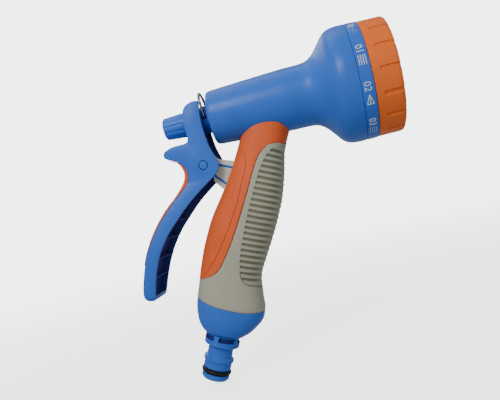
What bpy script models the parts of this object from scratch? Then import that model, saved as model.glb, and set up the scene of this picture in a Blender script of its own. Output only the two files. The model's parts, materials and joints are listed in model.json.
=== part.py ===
"""Hose spray nozzle: a rear-trigger, ten-pattern watering pistol, built from its separate pieces.

Millimetres are used for every size here, and MM turns them into Blender's metres.
World frame: +X is the spray direction along the barrel axis, +Z up, and XZ is the plane of symmetry.
The origin is the centre of the hose inlet's end face.
The handle and the inlet share one leaning axis: their own frame has t along it and u towards the front.
"""
import math

import bmesh
import bpy

MM = 0.001
GAP = 0.3                 # gap between neighbouring pieces

# Frames
LEAN = 24.0               # lean of the handle and inlet axis from the vertical, degrees
AXIS_Z = 145.8            # height of the barrel axis
PIVOT = (22.6, 119.5)     # trigger pivot, x and z
BAIL = (28.3, 146.2)      # axis of the wire bail, x and z
BAIL_REST = 5.0           # the bail leans back this far at rest, degrees

# Barrel and bell
REAR_X = 31.0             # rear face of the barrel
REAR_WALL = 3.0
BORE_R = 12.6             # water chamber
WALL = 2.4
BELL_X = 112.8            # bell rim, where the dial starts
BELL_PROFILE = [(84.0, 17.5), (89.3, 18.2), (93.2, 20.6), (96.9, 24.7), (100.0, 28.7),
                (102.9, 31.0), (106.2, 32.0), (109.6, 32.25), (BELL_X, 32.2)]
PORT_T = 146.5            # top end of the water tube, along the handle axis

# Dial
RING_X = 119.5            # front edge of the label ring
FRONT_X = 134.3           # front rim of the bumper ring
RING_R = 32.1
FRONT_R = 31.7
CORE_R = 27.3             # spray cup inside the bumper ring
PLATE_X = 129.9           # rear face of the spray plate
PLATE_T = 2.1
PATTERNS = 10
PORT_R = 17.0             # radius of the water ports about the barrel axis
OUTLET_R = 18.5           # radius of the outlets on the spray plate
FLUTES = 16               # grip flutes round the bumper ring
FLUTE_START = 273.2       # place of the first one about the barrel axis, degrees
DETENT_R = 24.0           # radius of the click detents
DISC_X = 113.2            # rear face of the pattern disc

# Valve
ROD_R = 2.0
KNOB = (2.8, 21.2)        # rear end and front face of the flow knob
SEAT_X = 84.3
SPRING = (37.6, 54.6)     # ends of the return spring
SPRING_R = 4.4
SPRING_WIRE = 0.5

# Trigger lever
LEVER_HALF = 12.8         # half of the lever's width at the fork
CHEEK = 2.7               # thickness of its cheeks
LEVER_PLAN = [(50.9, 8.0), (51.6, 10.0), (53.4, 11.6), (57.0, 12.7), (64.0, 14.0), (73.0, 15.3),
              (82.0, 15.7), (92.0, 15.0), (102.0, 13.9), (112.0, LEVER_HALF)]   # z, half width
PIN_R = 2.4
ARM_HALF = 4.6            # half of the width of the handle's pivot arm
SKIN_HALF = 6.2           # the same over its soft skin
BOSS_HALF = 9.6           # half of the width of its pivot boss, inside the lever's fork

# Handle sections along t: rear u, front u, half width
HANDLE = [(40.0, -18.3, 20.8, 14.9), (46.0, -19.0, 20.5, 15.2), (52.0, -19.4, 18.3, 15.0),
          (58.0, -20.0, 16.4, 14.7), (65.0, -20.4, 15.1, 14.6), (72.0, -20.6, 15.6, 14.7),
          (80.0, -20.3, 16.5, 15.0), (90.0, -19.4, 17.5, 15.2), (100.0, -17.3, 18.0, 15.1),
          (108.0, -15.6, 18.1, 14.7), (115.0, -14.7, 17.5, 14.2), (122.0, -13.7, 16.6, 13.7),
          (130.0, -12.8, 15.1, 13.3), (137.0, -12.4, 14.0, 13.1), (145.0, -12.2, 14.0, 13.0),
          (152.0, -12.3, 14.6, 13.0), (157.0, -12.6, 15.0, 13.0)]
CAP_SECTIONS = [(26.5, -9.9, 9.9, 9.9), (28.0, -12.3, 12.3, 11.9), (31.0, -15.0, 15.6, 13.4),
                (35.0, -16.8, 18.3, 14.4), (40.0, -18.3, 20.8, 14.9), (44.0, -18.8, 21.1, 15.1)]
CAP_T = 44.0              # seam between the base cap and the grip
SKIN = 2.6                # thickness of the soft grips over the core
GRIP_EDGE = [(-24.0, 53.4), (-18.0, 55.5), (-11.4, 59.3), (-7.4, 64.8), (-4.4, 76.5), (-2.4, 90.4),
             (-1.0, 105.1), (-0.1, 120.0), (1.1, 129.0), (4.4, 135.4), (9.3, 138.4), (15.2, 138.2),
             (22.0, 137.0)]    # seam between the two grips, u and t

# Inlet, turned about the handle axis: t and radius
BORE_INLET = 4.8
FLANGE = (19.7, 26.2)
FLANGE_R = 10.1
O_RING_T = 4.9
WINDOWS = 5               # openings in the castellated collar
WINDOW_TURN = 104.0       # their start about the handle axis, degrees

# Outlines in the plane of symmetry, x and z
LEVER_REAR = [(27.2, 155.0), (24.4, 155.3), (21.2, 154.6), (18.6, 152.6), (17.3, 149.2), (17.1, 143.0),
              (17.2, 136.4), (16.4, 134.0), (13.8, 133.4), (10.0, 133.4), (5.8, 132.8), (2.7, 131.3),
              (1.8, 129.0), (3.2, 127.1), (7.4, 125.4), (11.0, 122.5), (12.9, 118.8), (13.2, 115.2),
              (12.1, 112.2), (9.5, 109.3), (5.1, 105.7), (-1.2, 100.2), (-7.6, 93.7), (-13.4, 86.2),
              (-18.1, 78.7), (-21.5, 71.9), (-24.3, 64.5), (-26.2, 58.6), (-26.8, 54.8), (-25.7, 52.2),
              (-23.1, 51.2), (-21.1, 52.0)]
LEVER_FRONT = [(-20.2, 55.0), (-18.4, 61.0), (-15.2, 69.6), (-10.8, 78.1), (-4.4, 86.7), (3.2, 94.3),
               (10.5, 100.9), (18.2, 106.6), (25.2, 111.2), (29.0, 114.2), (30.9, 117.6), (30.7, 120.8),
               (29.1, 125.4), (27.7, 130.8), (26.8, 138.0), (26.6, 146.0), (27.2, 155.0)]
CHANNEL = [(24.6, 133.0), (18.0, 131.6), (12.0, 130.5), (7.6, 130.0), (5.9, 129.0), (7.9, 127.9),
           (12.0, 125.0), (14.8, 121.4), (15.7, 117.4), (15.2, 113.0), (12.6, 108.7), (7.5, 104.2),
           (1.2, 98.6), (-5.2, 92.1), (-10.9, 84.7), (-15.6, 77.2), (-18.9, 70.5), (-21.5, 63.6),
           (-23.3, 58.0), (-23.9, 55.2), (-22.7, 54.0)]
PAD_OUTER = [(3.4, 126.5), (7.2, 124.9), (9.9, 121.8), (11.0, 117.6), (10.1, 113.8), (7.5, 110.2),
             (3.2, 105.7), (-3.3, 100.1), (-9.7, 93.1), (-15.5, 85.0), (-19.6, 77.6), (-21.9, 72.6)]
RIBS = [(-2.0, 95.4, 45.0), (-9.9, 86.2, 52.0), (-16.4, 75.7, 62.0), (-20.9, 65.3, 69.0)]
# cross ribs in the channel: x and z of the foot, slope of the lever there in degrees
ARM = [(45.0, 114.5), (38.7, 117.6), (30.5, 120.6), (27.4, 123.0)]
ARM_LOWER = [(24.4, 112.9), (27.6, 108.8), (30.7, 104.8), (34.5, 100.6), (44.0, 100.0)]
ARM_R = 6.2
STRIPES = [((24.0, 120.8), (37.4, 115.2)), ((24.0, 115.7), (32.0, 106.9))]   # blue lines on the arm

WORLD = ((0.0, 0.0), 0.0)
BARREL = ((0.0, AXIS_Z), 90.0)
GRIP = ((0.0, 0.0), LEAN)


# ---------------------------------------------------------------- helpers

def clear_scene():
    for item in list(bpy.data.objects):
        bpy.data.objects.remove(item, do_unlink=True)


def make_material(name, colour, roughness, metallic=0.0):
    material = bpy.data.materials.new(name)
    material.use_nodes = True
    shader = material.node_tree.nodes["Principled BSDF"]
    shader.inputs["Base Color"].default_value = (*colour, 1.0)
    shader.inputs["Roughness"].default_value = roughness
    shader.inputs["Metallic"].default_value = metallic
    return material


def add_object(name, bm, material, frame=WORLD):
    """Turn a bmesh into a placed object; its local Z is the frame's own axis."""
    bmesh.ops.recalc_face_normals(bm, faces=bm.faces)
    mesh = bpy.data.meshes.new(name)
    bm.to_mesh(mesh)
    bm.free()
    mesh.shade_smooth()
    mesh.set_sharp_from_angle(angle=math.radians(35))
    item = bpy.data.objects.new(name, mesh)
    (x, z), angle = frame
    item.location = (x * MM, 0.0, z * MM)
    item.rotation_euler = (0.0, math.radians(angle), 0.0)
    if material:
        mesh.materials.append(material)
    else:
        item.hide_render = True
        item.display_type = "WIRE"
    bpy.context.collection.objects.link(item)
    return item


def set_origin(item, x, z):
    """Put an unrotated object's origin on its joint axis."""
    for vertex in item.data.vertices:
        vertex.co.x -= x * MM
        vertex.co.z -= z * MM
    item.location = (x * MM, 0.0, z * MM)


def smooth(points, steps=3):
    """A Catmull-Rom curve through the points, ends included."""
    out = []
    last = len(points) - 1
    for i in range(last):
        a, b = points[max(i - 1, 0)], points[i]
        c, d = points[i + 1], points[min(i + 2, last)]
        for k in range(steps):
            s = k / steps
            out.append(tuple(
                0.5 * (2 * q + (r - p) * s + (2 * p - 5 * q + 4 * r - v) * s * s
                       + (3 * q - p - 3 * r + v) * s ** 3)
                for p, q, r, v in zip(a, b, c, d)))
    out.append(tuple(points[last]))
    return out


def bridge(bm, ring_a, ring_b):
    count = max(len(ring_a), len(ring_b))
    for i in range(count):
        j = (i + 1) % count
        corners = [ring_a[i % len(ring_a)], ring_b[i % len(ring_b)],
                   ring_b[j % len(ring_b)], ring_a[j % len(ring_a)]]
        unique = list(dict.fromkeys(corners))
        bm.faces.new(unique)


def turn_profile(bm, profile, segments, offset, phase=0.0):
    rings = []
    for z, r in profile:
        ring = []
        for i in range(segments if r > 0 else 1):
            angle = 2 * math.pi * i / segments + phase
            x = offset[0] + r * math.cos(angle)
            y = offset[1] + r * math.sin(angle)
            ring.append(bm.verts.new((x * MM, y * MM, z * MM)))
        rings.append(ring)
    for ring_a, ring_b in zip(rings, rings[1:]):
        bridge(bm, ring_a, ring_b)
    if profile[0][1] > 0:
        bridge(bm, rings[-1], rings[0])


def lathe(name, material, profile, frame=BARREL, segments=32, offset=(0.0, 0.0)):
    """Turn (z, r) points about local Z. Ends on the axis close the solid, or else it is a ring."""
    bm = bmesh.new()
    turn_profile(bm, profile, segments, offset)
    return add_object(name, bm, material, frame)


def rod(name, material, start, end, radius, frame=BARREL, segments=20, offset=(0.0, 0.0)):
    profile = [(start, 0.0), (start, radius), (end, radius), (end, 0.0)]
    return lathe(name, material, profile, frame, segments, offset)


def drills(name, start, end, holes, frame=BARREL, segments=12):
    """One cutter made of several drills, each (x, y, radius) across the frame's axis."""
    bm = bmesh.new()
    for x, y, radius in holes:
        profile = [(start, 0.0), (start, radius), (end, radius), (end, 0.0)]
        turn_profile(bm, profile, segments, (x, y), 0.21)
    return add_object(name, bm, None, frame)


def tube(name, material, start, end, inner, outer, frame=BARREL, segments=36, offset=(0.0, 0.0)):
    profile = [(start, inner), (start, outer), (end, outer), (end, inner)]
    return lathe(name, material, profile, frame, segments, offset)


def seal_ring(name, material, at, radius, thickness, frame=BARREL, segments=24, offset=(0.0, 0.0)):
    """An O-ring of round section."""
    profile = []
    for k in range(6):
        angle = 2 * math.pi * (k + 0.5) / 6
        profile.append((at + thickness / 2 * math.cos(angle), radius + thickness / 2 * math.sin(angle)))
    return lathe(name, material, profile, frame, segments, offset)


def extrude(outline, half, centre=0.0):
    """A bmesh of an outline of (x, z) points, extruded to both sides of the plane of symmetry."""
    bm = bmesh.new()
    near = [bm.verts.new((x * MM, (centre - half) * MM, z * MM)) for x, z in outline]
    far = [bm.verts.new((x * MM, (centre + half) * MM, z * MM)) for x, z in outline]
    bm.faces.new(near)
    bm.faces.new(far)
    bridge(bm, near, far)
    return bm


def prism(name, material, outline, half, frame=WORLD, centre=0.0):
    return add_object(name, extrude(outline, half, centre), material, frame)


def loft(name, material, sections, inset=0.0, around=24, power=2.4):
    """Rounded sections across the handle axis, from rear u to front u."""
    bm = bmesh.new()
    rings = []
    for t, rear, front, half in sections:
        middle = (rear + front) / 2
        depth = (front - rear) / 2 - inset
        ring = []
        for i in range(around):
            angle = 2 * math.pi * i / around
            c, s = math.cos(angle), math.sin(angle)
            x = middle + depth * math.copysign(abs(c) ** (2 / power), c)
            y = (half - inset) * math.copysign(abs(s) ** (2 / power), s)
            ring.append(bm.verts.new((x * MM, y * MM, t * MM)))
        rings.append(ring)
    for ring_a, ring_b in zip(rings, rings[1:]):
        bridge(bm, ring_a, ring_b)
    bm.faces.new(rings[0])
    bm.faces.new(rings[-1])
    return add_object(name, bm, material, GRIP)


def helix(name, material, start, end, radius, wire, turns, frame=BARREL, offset=(0.0, 0.0),
          per_turn=10, sides=4):
    """A coil spring about local Z."""
    bm = bmesh.new()
    count = turns * per_turn
    rings = []
    for i in range(count + 1):
        angle = 2 * math.pi * i / per_turn
        z = start + wire + (end - start - 2 * wire) * i / count
        ring = []
        for k in range(sides):
            turn = 2 * math.pi * k / sides
            r = radius + wire * math.cos(turn)
            point = (offset[0] + r * math.cos(angle), offset[1] + r * math.sin(angle),
                     z + wire * math.sin(turn))
            ring.append(bm.verts.new([value * MM for value in point]))
        rings.append(ring)
    for ring_a, ring_b in zip(rings, rings[1:]):
        bridge(bm, ring_a, ring_b)
    bm.faces.new(rings[0])
    bm.faces.new(rings[-1])
    return add_object(name, bm, material, frame)


def combine(item, other, operation="DIFFERENCE"):
    modifier = item.modifiers.new(operation.title(), "BOOLEAN")
    modifier.operation = operation
    modifier.object = other
    modifier.solver = "EXACT"
    return item


def bevel(item, width, segments=2, angle=40.0):
    modifier = item.modifiers.new("Edge", "BEVEL")
    modifier.width = width * MM
    modifier.segments = segments
    modifier.limit_method = "ANGLE"
    modifier.angle_limit = math.radians(angle)
    return item


def circle(centre, radius, count, start=0.0, end=360.0):
    full = abs(end - start) >= 360.0
    steps = count if full else count - 1
    out = []
    for i in range(count):
        angle = math.radians(start + (end - start) * i / steps)
        out.append((centre[0] + radius * math.cos(angle), centre[1] + radius * math.sin(angle)))
    return out


def on_circle(radius, index, count, start=0.0):
    """Local x and y of one of the points spread round a circle."""
    angle = math.radians(start) + 2 * math.pi * index / count
    return radius * math.cos(angle), radius * math.sin(angle)


def offset_line(points, distance):
    """Shift an open line sideways, to the left of its direction."""
    out = []
    for i, (x, z) in enumerate(points):
        a, b = points[max(i - 1, 0)], points[min(i + 1, len(points) - 1)]
        length = math.hypot(b[0] - a[0], b[1] - a[1])
        out.append((x - (b[1] - a[1]) / length * distance, z + (b[0] - a[0]) / length * distance))
    return out


def stripe_outline(ends, width):
    """A straight strip of the given width between two points."""
    (ax, az), (bx, bz) = ends
    length = math.hypot(bx - ax, bz - az)
    nx, nz = -(bz - az) / length * width / 2, (bx - ax) / length * width / 2
    return [(ax + nx, az + nz), (ax - nx, az - nz), (bx - nx, bz - nz), (bx + nx, bz + nz)]


# ---------------------------------------------------------------- materials

def make_materials():
    return {
        "blue": make_material("blue_abs", (0.055, 0.19, 0.56), 0.34),
        "orange": make_material("orange_grip", (0.72, 0.17, 0.045), 0.55),
        "rim": make_material("orange_bumper", (0.70, 0.20, 0.035), 0.45),
        "beige": make_material("beige_grip", (0.47, 0.46, 0.36), 0.62),
        "steel": make_material("stainless_steel", (0.62, 0.62, 0.64), 0.28, 1.0),
        "brass": make_material("brass", (0.62, 0.44, 0.18), 0.32, 1.0),
        "rubber": make_material("black_rubber", (0.015, 0.015, 0.017), 0.6),
        "grey": make_material("grey_acetal", (0.42, 0.44, 0.46), 0.42),
    }


# ---------------------------------------------------------------- barrel and water path

def barrel_outer(extra=0.0):
    """Outside of the barrel and bell, from the rear face to the bell rim."""
    rear = [(REAR_X, 13.2), (REAR_X + 0.3, 14.4), (REAR_X + 1.1, 15.1), (REAR_X + 2.6, 15.5),
            (60.0, 16.8), (76.0, 17.5)]
    return [(x, r + extra) for x, r in rear + BELL_PROFILE]


def build_barrel(m):
    rear_in = REAR_X + REAR_WALL
    inner = [(x, r - WALL) for x, r in BELL_PROFILE if x > 91.0]
    inside = [(REAR_X, 5.9), (rear_in, 5.9), (rear_in, BORE_R), (90.6, BORE_R)] + inner
    shell = lathe("barrel_shell", m["blue"], barrel_outer() + inside[::-1])
    port = rod("cut_water_port", None, 128.0, 152.0, 5.2 + GAP, GRIP)
    combine(shell, port)

    nose = 25.2
    gland = [(nose, 2.3), (nose, 7.0), (nose + 1.0, 8.0), (30.7, 8.0), (30.7, 5.6), (37.2, 5.6),
             (37.2, 2.3), (34.6, 2.3), (34.6, 3.7), (32.6, 3.7), (32.6, 2.3)]
    gland = lathe("rear_gland", m["blue"], gland, segments=24)
    for side in (-1, 1):
        pocket = prism("cut_bail_foot", None, circle(BAIL, 1.2, 12), 2.2, centre=side * 7.0)
        combine(gland, pocket)
    tube("gland_nut", m["grey"], rear_in + GAP, 37.0, 5.95, 9.4, segments=24)
    seal_ring("stem_o_ring", m["rubber"], 33.6, 2.95, 1.1, segments=20)
    tube("water_tube", m["grey"], 53.5, PORT_T, 3.8, 5.2, GRIP, 20)
    tube("valve_seat", m["grey"], SEAT_X, 88.0, 5.2, BORE_R - GAP, segments=24)


def build_valve(m):
    tip = 87.0
    profile = [(8.0, 0.0), (8.0, ROD_R), (76.0, ROD_R), (76.0, 4.5), (78.0, 4.5), (78.0, 1.6),
               (tip, 1.6), (tip, 0.0)]
    lathe("valve_rod", m["steel"], profile, segments=20)
    tube("spring_collar", m["steel"], SPRING[1] + GAP, SPRING[1] + 1.8, ROD_R + GAP, 6.0, segments=20)
    tube("valve_plug", m["rubber"], 78.3, 84.0, 1.9, 7.6, segments=28)
    tube("plug_nut", m["brass"], 84.3, 86.6, 2.2, 3.9, segments=6)
    helix("return_spring", m["steel"], SPRING[0], SPRING[1], SPRING_R, SPRING_WIRE, 8)


def build_knob(m):
    rear, front = KNOB
    profile = [(rear, 0.0), (rear, 5.4), (rear + 0.7, 6.3), (15.0, 7.1), (16.2, 7.1), (16.7, 6.6),
               (front, 6.6), (front, 3.3), (7.0, 3.3), (7.0, 0.0)]
    lathe("flow_knob", m["blue"], profile, segments=24)
    tube("knob_insert", m["brass"], 7.4, front - 0.4, ROD_R + GAP, 3.0, segments=20)


def build_distributor(m):
    """Fixed disc in the bell that feeds one port of the dial."""
    back, face = 108.6, 112.4
    groove = 28.0
    profile = [(88.4, 0.0), (88.4, BORE_R - GAP), (91.6, BORE_R - GAP), (92.4, 7.0), (104.0, 7.0),
               (back, 9.0), (back, 29.2), (109.4, 29.2), (109.4, groove), (111.6, groove),
               (111.6, 29.2), (face, 29.2), (face, 0.0)]
    body = lathe("distributor", m["grey"], profile, segments=24)
    rise = math.atan2(15.0, 16.0)
    slant = ((95.0, AXIS_Z + 1.5), 90.0 - math.degrees(rise))
    pipe = rod("add_slant_pipe", None, 0.0, 21.0, 4.9, slant, 16)
    pocket_post = rod("add_detent_post", None, 102.4, back + 1.0, 3.2, BARREL, 16, (DETENT_R, 0.0))
    combine(combine(body, pipe, "UNION"), pocket_post, "UNION")
    cutters = [
        rod("cut_axial_bore", None, 87.0, 97.5, 5.0),
        rod("cut_slant_bore", None, 0.5, 24.0, 3.1, slant, 16),
        rod("cut_front_trim", None, face, 125.0, 32.0),
        rod("cut_seal_seat", None, 110.8, face + 1.0, 5.6, BARREL, 20, (-PORT_R, 0.0)),
        rod("cut_screw_bore", None, 100.4, face + 1.0, 2.2, BARREL, 16),
        rod("cut_detent_bore", None, 103.2, face + 1.0, 1.8, BARREL, 16, (DETENT_R, 0.0)),
    ]
    for cutter in cutters:
        combine(body, cutter)
    seal_ring("bell_o_ring", m["rubber"], 110.5, 28.8, 1.0)
    tube("port_seal", m["rubber"], 111.1, 112.9, 3.6, 5.3, BARREL, 20, (-PORT_R, 0.0))
    pin = [(108.0, 0.0), (108.0, 1.5), (112.1, 1.5), (DISC_X - GAP, 0.8), (DISC_X - GAP, 0.0)]
    lathe("detent_pin", m["steel"], pin, BARREL, 14, (DETENT_R, 0.0))
    helix("detent_spring", m["steel"], 103.5, 107.7, 1.1, 0.2, 5, BARREL, (DETENT_R, 0.0), 8)
    screw = [(101.0, 0.0), (101.0, 1.9), (117.6, 1.9), (117.6, 4.2), (119.6, 4.2), (120.4, 3.2),
             (120.4, 0.0)]
    screw = lathe("dial_screw", m["steel"], screw, segments=20)
    combine(screw, prism("cut_screw_slot", None, [(119.4, 130.0), (121.0, 130.0), (121.0, 160.0),
                                                  (119.4, 160.0)], 0.5))
    tube("screw_washer", m["steel"], 116.5, 117.3, 2.2, 5.4, segments=24)


# ---------------------------------------------------------------- dial

def build_dial(m):
    disc = tube("pattern_disc", m["grey"], DISC_X, 116.2, 2.4, 27.8)
    ports = [(*on_circle(PORT_R, i, PATTERNS, 180.0), 2.6) for i in range(PATTERNS)]
    dimples = [(*on_circle(DETENT_R, i, PATTERNS), 1.8) for i in range(PATTERNS)]
    combine(disc, drills("cut_ports", 112.0, 118.0, ports, segments=8))
    combine(disc, drills("cut_dimples", 112.0, DISC_X + 1.2, dimples, segments=6))

    ring = [(BELL_X + GAP, 28.2), (BELL_X + GAP, RING_R), (RING_X, RING_R - 0.1), (RING_X, 28.2)]
    lathe("label_ring", m["blue"], ring, segments=45)

    back = RING_X + GAP
    rim = [(back, CORE_R + GAP), (back, RING_R - 0.3), (FRONT_X - 2.2, FRONT_R),
           (FRONT_X - 0.8, FRONT_R - 0.5), (FRONT_X, FRONT_R - 1.8), (FRONT_X, CORE_R + GAP)]
    rim = lathe("bumper_ring", m["rim"], rim, segments=45)
    for i in range(FLUTES):
        combine(rim, flute_cutter(360.0 / FLUTES * i + FLUTE_START))

    tube("spray_cup", m["blue"], 116.5, PLATE_X - GAP, CORE_R - 2.2, CORE_R, segments=36)
    build_spray_plate(m)


def flute_cutter(angle):
    """One shallow slot with a round rear end, laid along the outside of the tapering rim."""
    turn = math.radians(angle)
    half, deep, rear = 1.15, 0.55, RING_X + 4.3
    taper = 0.05
    outline = [(rear + half - half * math.cos(a), half * math.sin(a))
               for a in [math.radians(-90 + 45 * k) for k in range(5)]]
    outline += [(FRONT_X + 2.0, half), (FRONT_X + 2.0, -half)]
    bm = bmesh.new()
    layers = []
    for height, slope in ((RING_R - 0.6 - deep, taper), (RING_R + 2.0, 0.0)):
        layer = []
        for x, side in outline:
            radius = height - (x - RING_X) * slope
            layer.append(bm.verts.new(((math.cos(turn) * radius - math.sin(turn) * side) * MM,
                                       (math.sin(turn) * radius + math.cos(turn) * side) * MM, x * MM)))
        layers.append(layer)
    bridge(bm, layers[0], layers[1])
    bm.faces.new(layers[0])
    bm.faces.new(layers[1])
    return add_object("cut_flute", bm, None, BARREL)


def build_spray_plate(m):
    """Front plate with a perforated centre and ten outlets round it."""
    front = PLATE_X + PLATE_T
    plate = tube("spray_plate", m["blue"], PLATE_X, front, 9.3, CORE_R, segments=40)
    inserts = {0: "jet", 2: "cone", 4: "mist", 6: "flat", 8: "centre"}
    seats, holes = [], []
    for i in range(PATTERNS):
        x, y = on_circle(OUTLET_R, i, PATTERNS, 180.0)
        if i in inserts:
            seats.append((x, y, 3.4))
            build_insert(m, inserts[i], x, y, front)
            continue
        holes.append((x, y, 1.5))
    combine(plate, drills("cut_insert_seats", PLATE_X - 1, front + 1, seats, segments=12))
    combine(plate, drills("cut_outlets", PLATE_X - 1, front + 1, holes, segments=8))

    centre = rod("shower_disc", m["grey"], PLATE_X - 2.0, front + 0.4, 9.0, BARREL, 30)
    rose = []
    for radius, count in ((0.0, 1), (5.0, 8)):
        rose += [(*on_circle(radius, k, count, 8.0), 0.8) for k in range(count)]
    combine(centre, drills("cut_rose", PLATE_X - 4, front + 2, rose, segments=6))


def build_insert(m, kind, x, y, front):
    """A turned outlet bush; its bore depends on the pattern."""
    bores = {"jet": 1.3, "cone": 2.2, "mist": 0.6, "centre": 1.8}
    back, outer, inner, lip = PLATE_X - 6.0, 3.0, 2.0, front + 0.7
    shoulder = [(back, outer), (lip - 0.5, outer), (lip, outer - 0.5)]
    if kind in bores:
        bore = [(lip, bores[kind]), (front - 1.6, bores[kind]), (front - 1.8, inner)]
        lathe(kind + "_nozzle", m["beige"], [(back, inner)] + shoulder + bore, BARREL, 12, (x, y))
        return
    solid = [(back, 0.0)] + shoulder + [(lip, 0.0)]
    body = lathe(kind + "_nozzle", m["beige"], solid, BARREL, 12, (x, y))
    combine(body, rod("cut_flat_bore", None, back - 1.0, front - 1.6, inner, BARREL, 12, (x, y)))
    slit = stripe_outline(((front - 3.0, AXIS_Z - x), (front + 2.0, AXIS_Z - x)), 0.7)
    combine(body, prism("cut_flat_slit", None, slit, 1.9, centre=y))


# ---------------------------------------------------------------- handle

def arm_outline(grow=0.0):
    boss = circle(PIVOT, ARM_R + grow, 12, 50.0, 275.0)
    upper = offset_line(ARM, -grow)
    lower = offset_line(ARM_LOWER, -grow)
    return upper + boss + lower


def build_handle(m):
    barrel_space = lathe("cut_barrel_space", None, [(20.0, 0.0)] + barrel_outer(GAP) + [(BELL_X, 0.0)])
    tube_bore = rod("cut_tube_bore", None, 30.0, 160.0, 5.2 + GAP, GRIP, 20)
    core_sections = [(46.3, *HANDLE[1][1:])] + HANDLE[2:]
    core_space = loft("cut_core_space", None, HANDLE, SKIN - 2 * GAP, 18)
    edge = smooth(GRIP_EDGE, 2)
    frame_end = [(40.0, 137.0), (40.0, 180.0), (-40.0, 180.0), (-40.0, 53.0)]
    orange_zone = prism("keep_orange_zone", None, edge + frame_end, 40.0, GRIP)
    beige_zone = prism("cut_orange_zone", None, offset_line(edge, -GAP) + frame_end, 40.0, GRIP)

    core = loft("handle_core", m["blue"], core_sections, SKIN, 18)
    combine(core, prism("add_arm", None, arm_outline(), ARM_HALF), "UNION")
    combine(core, prism("add_boss", None, circle(PIVOT, ARM_R, 24), BOSS_HALF), "UNION")
    for ends in STRIPES:
        stripe = stripe_outline(ends, 0.9)
        combine(core, prism("add_stripe", None, stripe, SKIN_HALF - 0.1), "UNION")
    combine(core, barrel_space)
    combine(core, rod("cut_socket", None, 40.0, 53.5, 8.4 + GAP, GRIP, 24))
    combine(core, tube_bore)
    combine(core, prism("cut_pin_bore", None, circle(PIVOT, PIN_R + GAP, 16), 20.0))

    arm_room = prism("cut_arm_room", None, arm_outline(1.0 + GAP), SKIN_HALF + GAP)
    orange = loft("grip_orange", m["orange"], HANDLE)
    combine(orange, orange_zone, "INTERSECT")
    combine(orange, core_space)
    combine(orange, barrel_space)
    combine(orange, arm_room)

    beige_sections = [(CAP_T + GAP, *HANDLE[1][1:])] + HANDLE[1:]
    beige = loft("grip_beige", m["beige"], beige_sections)
    combine(beige, core_space)
    combine(beige, beige_zone)

    skin = prism("arm_skin", m["beige"], arm_outline(1.0), SKIN_HALF)
    combine(skin, prism("cut_arm_space", None, arm_outline(GAP), ARM_HALF + GAP))
    combine(skin, core_space)
    boss_room = [(0.0, 90.0), (25.6, 90.0), (25.6, 140.0), (0.0, 140.0)]
    combine(skin, prism("cut_boss_room", None, boss_room, 20.0))
    combine(skin, prism("cut_boss", None, circle(PIVOT, ARM_R + GAP, 24), 20.0))
    for ends in STRIPES:
        combine(skin, prism("cut_stripe", None, stripe_outline(ends, 0.9 + 2 * GAP), 20.0))

    cap = loft("base_cap", m["blue"], CAP_SECTIONS)
    inner = [(29.5, -12.4, 12.0, 11.2), (33.0, -14.4, 15.2, 12.0), (38.0, -15.8, 17.6, 12.3),
             (45.0, -16.6, 18.2, 12.5)]
    combine(cap, loft("cut_cap_inside", None, inner))
    combine(cap, rod("cut_cap_bore", None, 20.0, 40.0, 8.4 + GAP, GRIP, 24))


def build_inlet(m):
    low, high = FLANGE
    profile = [(0.0, BORE_INLET), (0.0, 6.9), (1.2, 7.9), (3.3, 7.9), (3.3, 5.7), (6.5, 5.7), (6.5, 7.9),
               (10.2, 7.9), (11.0, 8.6), (12.6, 8.6), (13.6, 7.2), (low - 0.6, 7.2), (low, 8.4),
               (low + 0.5, FLANGE_R), (high, FLANGE_R), (high, 8.4), (52.2, 8.4), (52.2, BORE_INLET)]
    body = lathe("inlet_connector", m["blue"], profile, GRIP, 24)
    for i in range(WINDOWS):
        turn = 360.0 / WINDOWS * (i + 0.5) - WINDOW_TURN
        combine(body, window_cutter(turn, low + 3.4, high - 0.4))
    seal_ring("inlet_o_ring", m["rubber"], O_RING_T, 7.3, 2.5, GRIP)
    tube("inlet_washer", m["rubber"], 52.5, 53.2, 5.6, 8.2, GRIP, 24)


def window_cutter(turn, start, end):
    """A sector block that opens the castellated collar between two posts."""
    bm = bmesh.new()
    span = 360.0 / WINDOWS - 17.0
    layers = []
    for t in (start, end):
        layer = []
        for radius, order in ((7.9, 1), (13.0, -1)):
            for k in range(4):
                step = k if order > 0 else 3 - k
                angle = math.radians(turn - span / 2 + span * step / 3)
                point = (radius * math.cos(angle), radius * math.sin(angle), t)
                layer.append(bm.verts.new([value * MM for value in point]))
        layers.append(layer)
    bridge(bm, layers[0], layers[1])
    bm.faces.new(layers[0])
    bm.faces.new(layers[1])
    return add_object("cut_window", bm, None, GRIP)


# ---------------------------------------------------------------- trigger and bail

def lever_half(z):
    """Half width of the lever at a height, from its plan."""
    for (z0, h0), (z1, h1) in zip(LEVER_PLAN, LEVER_PLAN[1:]):
        if z <= z1:
            return h0 + (h1 - h0) * max(0.0, (z - z0) / (z1 - z0))
    return LEVER_HALF


def lever_prism(name, material, outline, inset):
    """An extruded outline whose sides follow the lever's plan, the given inset inside them."""
    bm = extrude(outline, LEVER_HALF)
    for z, _ in LEVER_PLAN:
        every = bm.verts[:] + bm.edges[:] + bm.faces[:]
        bmesh.ops.bisect_plane(bm, geom=every, plane_co=(0, 0, z * MM), plane_no=(0, 0, 1))
    for vertex in bm.verts:
        vertex.co.y = math.copysign((lever_half(vertex.co.z / MM) - inset) * MM, vertex.co.y)
    return add_object(name, bm, material)


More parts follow.
